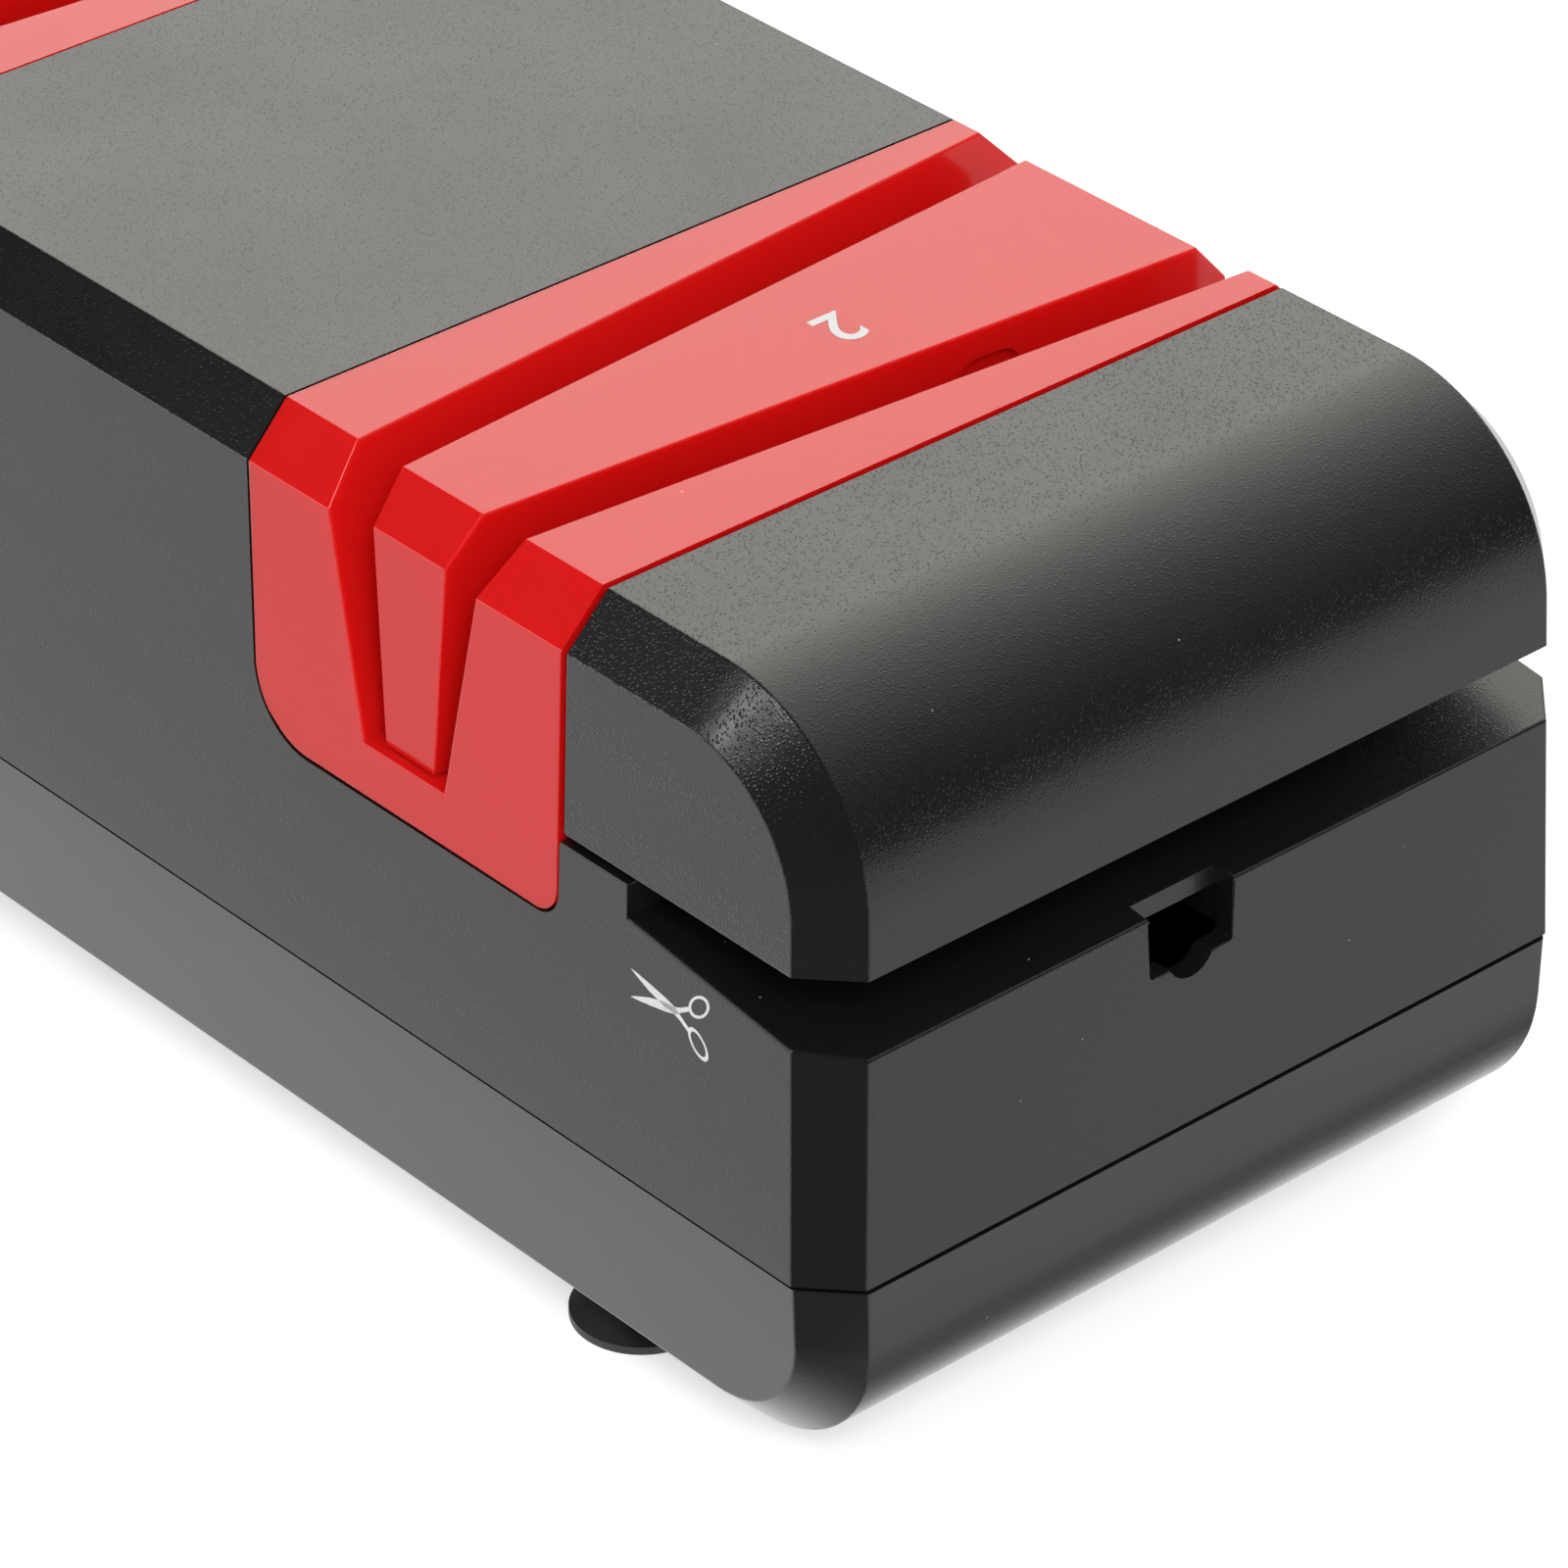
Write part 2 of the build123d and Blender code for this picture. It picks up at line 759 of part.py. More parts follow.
def base_lip():
    """Lip inside the housing wall that lines the two shells up."""
    outer = upper_envelope(wall + lip_clearance) & block(-far_beyond, far_beyond, -body_width,
                                                         body_width, 0, seam_height + lip_height)
    inner = upper_envelope(wall + lip_clearance + lip_thickness)
    upper = outer - inner
    reach = base_wall + 0.3
    lower = base_envelope(base_wall - 0.3) - base_envelope(wall + lip_clearance + lip_thickness)
    lower = lower & block(-far_beyond, far_beyond, -body_width, body_width, seam_height - reach,
                          seam_height)
    return upper + lower


def cradles():
    """Two ribs with a round seat for the motor's pads and a flange for each strap."""
    wide = can_radius + pad_thickness + strap_flange
    rib = block(cradle_x - cradle_thickness / 2, cradle_x + cradle_thickness / 2, -wide, wide,
                floor_top - 0.5, axis_height)
    seat = on_axis(0, far_beyond, can_radius + pad_thickness)
    cradle = rib - seat
    for y in strap_screw_ys():
        cradle -= rod_z(cradle_x, y, axis_height - screw_bite - 1, axis_height + 1, screw_radius)
    return cradle + flipped(cradle)


def strap_screw_ys():
    y = can_radius + pad_thickness + strap_flange / 2
    return (-y, y)


def pedestals():
    """Webs that carry the lower half of each outboard bush."""
    low_x = bush_seat
    web = block(low_x, low_x + pedestal_length, -pedestal_half, pedestal_half, floor_top - 0.5,
                axis_height)
    window_top = axis_height - bush_radius - bearing_wall
    opening = block(low_x - 1, low_x + pedestal_length + 1, -pedestal_half + 5, pedestal_half - 5,
                    floor_top + 2, window_top)
    web -= opening
    web += block(low_x, low_x + 2.5, -pedestal_half + 4, pedestal_half - 4, floor_top, axis_height)
    web -= on_axis(0, far_beyond, bush_radius)
    for y in (-bearing_screw_y, bearing_screw_y):
        web -= rod_z(low_x + pedestal_length / 2, y, axis_height - screw_bite, axis_height + 1,
                     screw_radius)
    return web + flipped(web)


def board_places():
    dx = board_length / 2 - 3
    dy = board_width / 2 - 3
    return [(board_x + i * dx, j * dy) for i in (-1, 1) for j in (-1, 1)]


def board_posts():
    posts = None
    for x, y in board_places():
        post = rod_z(x, y, floor_top - 0.5, board_height, board_post_radius)
        post -= rod_z(x, y, board_height - small_bite, board_height + 1, small_screw_radius)
        posts = post if posts is None else posts + post
    return posts


def vents():
    """Slots below the motor that let its heat out."""
    slots = None
    for i in range(vent_count):
        x = vent_reach * (2 * i / (vent_count - 1) - 1)
        outline = Pos(x, 0) * Rot(0, 0, 90) * SlotOverall(vent_length, vent_width)
        slot = extrude(outline, amount=floor_top + 1)
        slots = slot if slots is None else slots + slot
    return slots


def foot_places():
    return [(i * foot_x, j * foot_y) for i in (1, -1) for j in (-1, 1)]


def foot(x, y):
    """Rubber suction cup with a neck through the tray and a head that holds it."""
    head_low = floor_top
    profile = polygon([(0, foot_height - 1.6), (foot_radius * 0.45, foot_height - 1.9),
                       (foot_radius - 0.9, 0), (foot_radius, 0), (foot_radius, foot_lip),
                       (foot_radius * 0.62, foot_height - 0.7), (foot_radius * 0.5, foot_height),
                       (foot_neck_radius, foot_height), (foot_neck_radius, head_low),
                       (foot_head_radius, head_low),
                       (foot_head_radius * 0.7, head_low + foot_head_height),
                       (0, head_low + foot_head_height)])
    return Pos(x, y, 0) * revolve(Plane.XZ * profile, Axis.Z)


# ---- drive line ----


def hub():
    """Aluminium hub: sleeve with a grub screw, flange, barrel through the wheel."""
    low = station_x - hub_end
    sleeve = on_axis(low - hub_sleeve, low, hub_sleeve_radius)
    flange = on_axis(low, low + hub_flange, hub_flange_radius)
    barrel = on_axis(low + hub_flange, station_x + hub_end, wheel_bore)
    shape = sleeve + flange + barrel - on_axis(0, far_beyond, shaft_radius)
    return shape - grub_hole(low - hub_sleeve / 2)


def grub_hole(x):
    return rod_z(x, 0, axis_height + shaft_radius, axis_height + hub_sleeve_radius + 1, screw_radius)


def grub_screw(x):
    return rod_z(x, 0, axis_height + shaft_radius, axis_height + hub_sleeve_radius - 0.5,
                 screw_radius)


def wheel_nut():
    """Ring nut with two flats that clamps the wheel on its hub."""
    low = station_x + wheel_half
    nut = on_axis(low, low + hub_flange, nut_radius) - on_axis(0, far_beyond, wheel_bore)
    flat = nut_radius - 0.8
    return nut & block(0, far_beyond, -flat, flat, 0, body_top)


def tool_wheel():
    low = tool_face_x - tool_wheel_thickness
    edge = 0.6
    bore = tool_hub_radius
    return turned([(low, bore), (tool_face_x, bore), (tool_face_x, tool_wheel_radius - edge),
                   (tool_face_x - edge, tool_wheel_radius), (low, tool_wheel_radius)])


def tool_hub():
    low = tool_face_x - tool_wheel_thickness
    shape = on_axis(tool_hub_start, low, hub_sleeve_radius)
    shape += on_axis(low - 1.5, low, hub_flange_radius)
    shape += on_axis(low, tool_face_x - tool_hub_recess, tool_hub_radius)
    shape -= on_axis(0, far_beyond, shaft_radius)
    return shape - grub_hole(tool_hub_start + 1.9)


def drive_shaft():
    shaft = on_axis(shaft_far_end, shaft_nose_end, shaft_radius)
    ends = shaft.edges().filter_by(GeomType.CIRCLE)
    return chamfer(ends, 0.5)


def bush():
    shape = on_axis(bush_seat, bush_end, bush_radius) + on_axis(bush_x, bush_seat,
                                                                bush_flange_radius)
    return shape - on_axis(0, far_beyond, shaft_radius + running_fit)


def bearing_cap():
    """Upper half of the bush seat with a flange screwed to the pedestal."""
    high_x = bush_seat + pedestal_length
    arch = on_axis(bush_seat, high_x, bush_radius + bearing_wall)
    flange = block(bush_seat, high_x, -pedestal_half, pedestal_half, axis_height,
                   axis_height + bearing_flange)
    cap = (arch & block(0, far_beyond, -body_width, body_width, axis_height, body_top)) + flange
    cap -= on_axis(0, far_beyond, bush_radius)
    for y in (-bearing_screw_y, bearing_screw_y):
        cap -= rod_z(bush_seat + pedestal_length / 2, y, 0, body_top, screw_radius)
    return cap


# ---- motor ----


def motor_can():
    """Drawn steel can, closed towards the nose, with a raised bearing boss."""
    bell_face = -can_half + bell_length
    can = on_axis(bell_face, can_half, can_radius)
    rim = can.edges().filter_by(GeomType.CIRCLE).sort_by(Axis.X)[-1]
    can = fillet(rim, can_wall)
    can -= on_axis(bell_face - 1, can_half - can_wall, can_radius - can_wall)
    can += on_axis(can_half, boss_end, boss_radius)
    return can - on_axis(0, far_beyond, shaft_radius + 1.5)


def motor_end_bell():
    """Plastic end bell that plugs the can and holds the brushes' terminals."""
    bell = on_axis(-can_half, -can_half + bell_length, can_radius)
    face = -can_half + bell_length
    bell += on_axis(face, face + bell_plug, can_radius - can_wall)
    bell += on_axis(-boss_end, -can_half, boss_radius)
    bell -= on_axis(-far_beyond, 0, shaft_radius + 1.5)
    for y in terminal_ys():
        bell -= block(-can_half - 1, -can_half + 4, y - 2, y + 2, axis_height - 0.4,
                      axis_height + 0.4)
    return bell


def terminal_ys():
    return (-11.0, 11.0)


def motor_terminals():
    tabs = None
    for y in terminal_ys():
        tab = block(-can_half - 5, -can_half + 4, y - 2, y + 2, axis_height - 0.4,
                    axis_height + 0.4)
        tabs = tab if tabs is None else tabs + tab
    return tabs


def motor_bush():
    """Small bronze bush in the can's boss."""
    bush_low = boss_end - 5.5
    return on_axis(bush_low, boss_end, shaft_radius + 1.5) - on_axis(0, far_beyond,
                                                                      shaft_radius + running_fit)


def motor_magnets():
    """Two curved magnets against the can wall."""
    radius = can_radius - can_wall
    ring = on_axis(-armature_half, armature_half, radius)
    ring -= on_axis(-far_beyond, far_beyond, radius - magnet_thickness)
    gap = block(-far_beyond, far_beyond, -5, 5, 0, body_top)
    return ring - gap


def motor_armature():
    """Slotted stack and commutator on the shaft."""
    stack = on_axis(-armature_half, armature_half, armature_radius)
    slot = block(-far_beyond, far_beyond, -1.4, 1.4, 7.5, armature_radius + 1)
    slot += rod_x(-far_beyond, far_beyond, 0, 9.5, 2.8)
    for i in range(slot_count):
        turn = Rot(i * 360 / slot_count, 0, 0)
        stack -= Pos(0, 0, axis_height) * turn * slot
    low = -armature_half - commutator_length
    stack += on_axis(low, -armature_half, commutator_radius)
    return stack - on_axis(-far_beyond, far_beyond, shaft_radius)


def motor_pad():
    """Rubber ring between the can and its cradle."""
    low = cradle_x - pad_width / 2
    high = cradle_x + pad_width / 2
    can = on_axis(low - 1, high + 1, can_radius)
    pad = on_axis(low, high, can_radius + pad_thickness)
    return pad - can


def motor_strap():
    """Pressed strap over the motor, with a flange at each side."""
    inner = can_radius + pad_thickness
    low = cradle_x - pad_width / 2
    high = cradle_x + pad_width / 2
    above = block(0, far_beyond, -body_width, body_width, axis_height, body_top)
    arch = on_axis(low, high, inner + strap_thickness) & above
    wide = inner + strap_flange
    flange = block(low, high, -wide, wide, axis_height, axis_height + strap_thickness)
    strap = arch + flange - on_axis(0, far_beyond, inner)
    for y in strap_screw_ys():
        strap -= rod_z(cradle_x, y, 0, body_top, screw_radius)
    return strap


# ---- switch and inlet on the far end ----


def local_prism(points, y_half):
    """Extrude (height, outwards) points across the switch, in the end wall's frame."""
    face = Plane.YZ.offset(-y_half) * polygon(points)
    return extrude(face, amount=2 * y_half)


def switch_body():
    bezel = Box(bezel_width, bezel_tall, bezel_thickness,
                align=(Align.CENTER, Align.CENTER, Align.MIN))
    bezel = fillet(bezel.edges().filter_by(Axis.Z), 1.2)
    bezel = chamfer(bezel.faces().sort_by(Axis.Z)[-1].edges(), 0.5)
    can = Box(bezel_width - 2 * bezel_margin, bezel_tall - 2 * bezel_margin, switch_body_depth,
              align=(Align.CENTER, Align.CENTER, Align.MAX))
    body = bezel + can
    half_y = rocker_width / 2 + rocker_gap
    half_z = rocker_radius + rocker_gap
    well = Box(2 * half_y, 2 * half_z, switch_well_depth + bezel_thickness,
               align=(Align.CENTER, Align.CENTER, Align.MAX))
    body -= Pos(0, 0, bezel_thickness) * well
    pin_hole = Rot(0, 90, 0) * Cylinder(rocker_pin_radius + rocker_pin_gap, bezel_width)
    return switch_frame() * (body - Pos(0, 0, -rocker_pivot_depth) * pin_hole)


def switch_rocker():
    """Rocker with a dished face, turned about a pin below the bezel."""
    drum = Rot(0, 90, 0) * Cylinder(rocker_radius, rocker_width)
    tall = rocker_radius + 2
    face = rocker_pivot_depth + bezel_thickness
    dish = local_prism([(-tall, face + rocker_rise), (0, face + rocker_rise - rocker_dip),
                        (tall, face + rocker_rise), (tall, -3.5), (-tall, -3.5)], rocker_width / 2)
    rocker = drum & dish
    rocker += Rot(0, 90, 0) * Cylinder(rocker_pin_radius, bezel_width - 3.4)
    tilted = Rot(rocker_travel / 2, 0, 0) * rocker
    return switch_frame() * (Pos(0, 0, -rocker_pivot_depth) * tilted)


def switch_terminals():
    tabs = None
    for v in (-5.0, 0.0, 5.0):
        tab = Pos(0, v, -switch_body_depth - 3) * Box(4.8, 0.8, 6)
        tabs = tab if tabs is None else tabs + tab
    return switch_frame() * tabs


def jack_frame():
    """Frame on the far end wall at the inlet's mouth."""
    lean = radians(end_draft)
    x = -(half_length - (jack_height - seam_height) * tan(lean))
    outward = Vector(-1, 0, tan(lean)).normalized()
    return Plane(origin=(x, jack_y, jack_height), x_dir=(0, -1, 0), z_dir=outward)


def power_jack():
    """Low-voltage inlet: round nose in the wall, square body behind it."""
    nose = Pos(0, 0, -wall / 2) * Cylinder(jack_nose_radius, wall)
    body = Box(jack_width, jack_tall, jack_depth, align=(Align.CENTER, Align.CENTER, Align.MAX))
    mouth = Cylinder(jack_mouth_radius, jack_mouth_depth,
                     align=(Align.CENTER, Align.CENTER, Align.MAX))
    shape = nose + Pos(0, 0, -wall) * body - mouth
    seat = Cylinder(jack_pin_radius, jack_mouth_depth + 4,
                    align=(Align.CENTER, Align.CENTER, Align.MAX))
    return jack_frame() * (shape - seat)


def power_jack_pin():
    depth = jack_mouth_depth + 4
    pin = Pos(0, 0, -1) * Cylinder(jack_pin_radius, depth - 1,
                                   align=(Align.CENTER, Align.CENTER, Align.MAX))
    return jack_frame() * pin


# ---- circuit board and leads ----


def circuit_board():
    low = board_height
    board = block(board_x - board_length / 2, board_x + board_length / 2, -board_width / 2,
                  board_width / 2, low, low + board_thickness)
    for x, y in board_places():
        board -= rod_z(x, y, 0, body_top, small_screw_radius)
    return board


def board_capacitor():
    top = board_height + board_thickness
    can = rod_z(board_x - 4, 5, top, top + 11, 4)
    return fillet(can.faces().sort_by(Axis.Z)[-1].edges(), 0.6)


def board_connector():
    top = board_height + board_thickness
    shell = block(board_x + 3, board_x + 9, -9, 9, top, top + 6)
    return shell - block(board_x + 4, board_x + 10, -8, 8, top + 1, top + 7)


def lead(points):
    path = FilletPolyline(*points, radius=lead_bend)
    start = Plane(origin=path @ 0, z_dir=path % 0)
    return sweep(start * Circle(lead_radius), path=path)


def motor_lead(side):
    """From the board's connector round the wheel to a motor terminal."""
    low = floor_top + 3
    connector_z = board_height + board_thickness + 3.5
    tab_x = -can_half - 5 - lead_radius
    tab_y = side * terminal_ys()[1]
    run_y = side * (half_width - lead_from_side)
    corner_y = side * (half_width - lead_corner_from_side)
    rise_y = side * (half_width - lead_rise_from_side)
    board_end = board_x + board_length
    return lead([(board_x + 7, side * 5, connector_z), (board_x + 14, side * 8, connector_z),
                 (board_x + 16, corner_y, connector_z), (board_end, run_y, low),
                 (tab_x - board_length / 2, run_y, low), (tab_x, rise_y, (low + axis_height) / 2),
                 (tab_x, tab_y, axis_height - 2)])


# ---- screws ----


def screw(x, y, seat, grip, bite, radius=screw_radius, head=screw_head_radius,
          head_height=screw_head_height):
    """A screw that points up: its head below the seat, its shank through the grip."""
    shank = rod_z(x, y, seat, seat + grip + bite, radius)
    cap = rod_z(x, y, seat - head_height, seat, head)
    drive = Pos(x, y, seat - head_height) * (Box(head * 1.2, 0.6, 1) + Box(0.6, head * 1.2, 1))
    return shank + cap - drive


def screw_down(x, y, seat, grip, bite, radius=screw_radius, head=screw_head_radius,
               head_height=screw_head_height):
    """The same screw pointing down, its head above the seat."""
    shank = rod_z(x, y, seat - grip - bite, seat, radius)
    cap = rod_z(x, y, seat, seat + head_height, head)
    drive = Pos(x, y, seat + head_height) * (Box(head * 1.2, 0.6, 1) + Box(0.6, head * 1.2, 1))
    return shank + cap - drive


def group(pieces):
    return Compound(children=list(pieces))


def body_screws():
    return group(screw(x, y, seam_height - well_floor, well_floor, screw_bite)
                 for x, y in screw_places())


def cap_screws():
    return group(screw(x, y, ledge_height - deck, deck, screw_bite)
                 for x, y in cap_places(1) + cap_places(-1))


def saddle_screws():
    places = saddle_posts() + [(-x, y) for x, y in saddle_posts()]
    return group(screw(x, y, saddle_bottom - shelf_thickness, shelf_thickness, screw_bite - 1)
                 for x, y in places)


def wedge_screws():
    places = [(i * station_x, j * wedge_post_y) for i in (1, -1) for j in (-1, 1)]
    return group(screw(x, y, slot_bottom - wall, wall, small_bite, small_screw_radius,
                       small_head_radius, small_head_height) for x, y in places)


def strap_screws():
    places = [(i * cradle_x, y) for i in (1, -1) for y in strap_screw_ys()]
    return group(screw_down(x, y, axis_height + strap_thickness, strap_thickness, screw_bite)
                 for x, y in places)


def bearing_screws():
    x = bush_seat + pedestal_length / 2
    places = [(i * x, j * bearing_screw_y) for i in (1, -1) for j in (-1, 1)]
    return group(screw_down(x, y, axis_height + bearing_flange, bearing_flange, screw_bite - 1)
                 for x, y in places)


def board_screws():
    top = board_height + board_thickness
    return group(screw_down(x, y, top, board_thickness, small_bite - 1, small_screw_radius,
                            small_head_radius, small_head_height) for x, y in board_places())


def grub_screws():
    knife = station_x - hub_end - hub_sleeve / 2
    return group([grub_screw(knife), grub_screw(-knife), grub_screw(tool_hub_start + 1.9)])


# ---- writing the pieces ----


def main():
    nose_saddle = saddle()
    nose_wedge = wedge()
    nose_hub = hub()
    nose_nut = wheel_nut()
    nose_wheel = knife_wheel()
    nose_bush = bush()
    nose_motor_bush = motor_bush()
    nose_pad = motor_pad()
    nose_strap = motor_strap()
    nose_bearing_cap = bearing_cap()
    whole = whole_housing()
    pieces = {
        "main_housing": main_housing(whole),
        "lower_jaw": lower_jaw(whole),
        "base_tray": base_tray(),
        "nose_cap": nose_cap(),
        "end_cap": end_cap(),
        "fine_saddle": nose_saddle,
        "coarse_saddle": flipped(nose_saddle),
        "fine_wedge": nose_wedge,
        "coarse_wedge": flipped(nose_wedge),
        "fine_wheel": nose_wheel,
        "coarse_wheel": flipped(nose_wheel),
        "fine_hub": nose_hub,
        "coarse_hub": flipped(nose_hub),
        "fine_wheel_nut": nose_nut,
        "coarse_wheel_nut": flipped(nose_nut),
        "tool_wheel": tool_wheel(),
        "tool_hub": tool_hub(),
        "drive_shaft": drive_shaft(),
        "nose_bush": nose_bush,
        "far_bush": flipped(nose_bush),
        "nose_bearing_cap": nose_bearing_cap,
        "far_bearing_cap": flipped(nose_bearing_cap),
        "motor_can": motor_can(),
        "motor_end_bell": motor_end_bell(),
        "motor_magnets": motor_magnets(),
        "motor_armature": motor_armature(),
        "motor_bush_nose": nose_motor_bush,
        "motor_bush_far": flipped(nose_motor_bush),
        "motor_terminals": motor_terminals(),
        "motor_pad_nose": nose_pad,
        "motor_pad_far": flipped(nose_pad),
        "motor_strap_nose": nose_strap,
        "motor_strap_far": flipped(nose_strap),
        "switch_body": switch_body(),
        "switch_rocker": switch_rocker(),
        "switch_terminals": switch_terminals(),
        "power_jack": power_jack(),
        "power_jack_pin": power_jack_pin(),
        "circuit_board": circuit_board(),
        "board_capacitor": board_capacitor(),
        "board_connector": board_connector(),
        "lead_motor_left": motor_lead(-1),
        "lead_motor_right": motor_lead(1),
        "body_screws": body_screws(),
        "cap_screws": cap_screws(),
        "saddle_screws": saddle_screws(),
        "wedge_screws": wedge_screws(),
        "strap_screws": strap_screws(),
        "bearing_screws": bearing_screws(),
        "board_screws": board_screws(),
        "grub_screws": grub_screws(),
    }
    for index, (x, y) in enumerate(foot_places()):
        pieces[f"foot_{index + 1}"] = foot(x, y)
    for name, shape in pieces.items():
        write(name, shape)


main()
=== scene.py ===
import json
from math import cos, radians, sin

import bmesh
import bpy
from mathutils import Matrix, Vector
from mathutils.bvhtree import BVHTree

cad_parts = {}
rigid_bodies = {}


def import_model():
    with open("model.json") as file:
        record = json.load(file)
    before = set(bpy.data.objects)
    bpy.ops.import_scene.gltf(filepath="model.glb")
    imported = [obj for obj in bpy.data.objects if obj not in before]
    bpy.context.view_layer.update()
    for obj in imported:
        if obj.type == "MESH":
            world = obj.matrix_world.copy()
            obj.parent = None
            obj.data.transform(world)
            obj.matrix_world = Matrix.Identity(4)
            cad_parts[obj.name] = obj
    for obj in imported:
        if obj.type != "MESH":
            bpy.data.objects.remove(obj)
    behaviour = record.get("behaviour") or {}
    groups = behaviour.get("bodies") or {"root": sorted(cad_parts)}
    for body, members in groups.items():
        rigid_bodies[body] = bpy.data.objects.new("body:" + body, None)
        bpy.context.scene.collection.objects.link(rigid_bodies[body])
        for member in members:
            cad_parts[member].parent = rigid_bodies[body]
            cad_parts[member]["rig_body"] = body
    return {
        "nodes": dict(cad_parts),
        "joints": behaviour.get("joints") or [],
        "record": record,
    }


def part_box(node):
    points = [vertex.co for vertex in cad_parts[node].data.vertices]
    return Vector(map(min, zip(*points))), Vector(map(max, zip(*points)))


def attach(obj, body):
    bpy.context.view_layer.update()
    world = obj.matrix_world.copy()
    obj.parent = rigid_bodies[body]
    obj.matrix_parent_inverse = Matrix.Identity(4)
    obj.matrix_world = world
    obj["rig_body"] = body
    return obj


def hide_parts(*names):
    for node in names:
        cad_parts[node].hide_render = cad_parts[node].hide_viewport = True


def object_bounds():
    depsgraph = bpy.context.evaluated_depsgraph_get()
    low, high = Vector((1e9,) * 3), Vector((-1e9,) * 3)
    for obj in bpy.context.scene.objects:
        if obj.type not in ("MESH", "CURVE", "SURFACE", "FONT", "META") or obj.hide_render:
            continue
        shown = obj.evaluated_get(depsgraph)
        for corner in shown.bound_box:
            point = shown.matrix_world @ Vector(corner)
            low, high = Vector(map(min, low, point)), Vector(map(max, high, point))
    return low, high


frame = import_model()
nodes = frame["nodes"]
joints = {joint["name"]: joint for joint in frame["joints"]}
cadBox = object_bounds()
mm = 0.001


def clearSelection():
    if bpy.context.mode != "OBJECT":
        bpy.ops.object.mode_set(mode="OBJECT")
    bpy.ops.object.select_all(action="DESELECT")


def makeActive(piece):
    clearSelection()
    piece.select_set(True)
    bpy.context.view_layer.objects.active = piece


def editAll(piece):
    makeActive(piece)
    bpy.ops.object.mode_set(mode="EDIT")
    bpy.ops.mesh.select_all(action="SELECT")


def leaveEdit():
    bpy.ops.object.mode_set(mode="OBJECT")


def settle(piece, place):
    # the place goes into the mesh, so the object itself sits at the origin
    piece.data.transform(place)
    piece.matrix_world = Matrix.Identity(4)


def turnedFrame(place, *axes):
    # a placement from a point and its three axes
    return Matrix.Translation(place) @ Matrix(axes).transposed().to_4x4()


cameraPlan = {
    "place": (0.497709, -0.389227, 0.404925),
    "turn": 41.2865,        # degrees from +X towards -Y
    "tilt": 32.4179,        # degrees above the table
    "roll": -0.1101,
    "lens": 173.4215,
    "sensor": 36.0,
    "nearest": 0.01,        # nothing closer than this is drawn
}


def addCamera(plan):
    turn, tilt, roll = (radians(plan[key]) for key in ("turn", "tilt", "roll"))
    back = Vector((cos(tilt) * cos(turn), -cos(tilt) * sin(turn), sin(tilt)))
    level = Vector((0, 0, 1)).cross(back).normalized()
    upright = back.cross(level)
    right = level * cos(roll) + upright * sin(roll)
    up = upright * cos(roll) - level * sin(roll)
    data = bpy.data.cameras.new("camera")
    data.lens = plan["lens"]
    data.sensor_width = plan["sensor"]
    data.sensor_fit = "HORIZONTAL"
    data.clip_start = plan["nearest"]
    camera = bpy.data.objects.new("camera", data)
    bpy.context.scene.collection.objects.link(camera)
    camera.matrix_world = turnedFrame(plan["place"], right, up, back)
    bpy.context.scene.camera = camera


addCamera(cameraPlan)
print("camera set")


class Tree:
    # short ways to add and join nodes

    def __init__(self, tree):
        self.nodes = tree.nodes
        self.links = tree.links

    def add(self, kind, values=None, **settings):
        node = self.nodes.new("ShaderNode" + kind)
        for name, value in settings.items():
            setattr(node, name, value)
        for name, value in (values or {}).items():
            node.inputs[name].default_value = value
        return node

    def join(self, source, target):
        self.links.new(source, target)

    def feed(self, target, value):
        # a socket takes a plain value or what another node gives
        if isinstance(value, (int, float, tuple)):
            target.default_value = value
        else:
            self.join(value, target)

    def math(self, operation, first, second):
        node = self.add("Math", operation=operation)
        self.feed(node.inputs[0], first)
        self.feed(node.inputs[1], second)
        return node.outputs[0]

    def remap(self, value, fromLow, fromHigh, toLow, toHigh, smooth=False):
        node = self.add("MapRange", {"From Min": fromLow, "From Max": fromHigh, "To Min": toLow,
                                     "To Max": toHigh})
        if smooth:
            node.interpolation_type = "SMOOTHSTEP"
        self.join(value, node.inputs["Value"])
        return node.outputs["Result"]

    def blend(self, factor, first, second):
        # between two colours
        node = self.add("Mix", data_type="RGBA")
        for socket, value in ((0, factor), (6, first), (7, second)):
            self.feed(node.inputs[socket], value)
        return node.outputs[2]

    def mixed(self, factor, first, second):
        # between two values
        node = self.add("Mix", data_type="FLOAT")
        for socket, value in ((0, factor), (2, first), (3, second)):
            self.feed(node.inputs[socket], value)
        return node.outputs[0]

    def noise(self, vector, scale, detail, roughness):
        node = self.add("TexNoise", {"Scale": scale, "Detail": detail, "Roughness": roughness})
        self.join(vector, node.inputs["Vector"])
        return node.outputs["Fac"]

    def rays(self):
        # what kind of ray arrives, and whether it is a reflected or a refracted one
        path = self.add("LightPath").outputs
        return path, self.math("MAXIMUM", path["Is Glossy Ray"], path["Is Transmission Ray"])

    def cells(self, vector, scale):
        # how far each point is from its cell's middle, and the cell's own chance colour
        node = self.add("TexVoronoi", feature="F1")
        self.join(vector, node.inputs["Vector"])
        self.feed(node.inputs["Scale"], scale)
        chance = self.add("SeparateColor")
        self.join(node.outputs["Color"], chance.inputs["Color"])
        return node.outputs["Distance"], chance.outputs


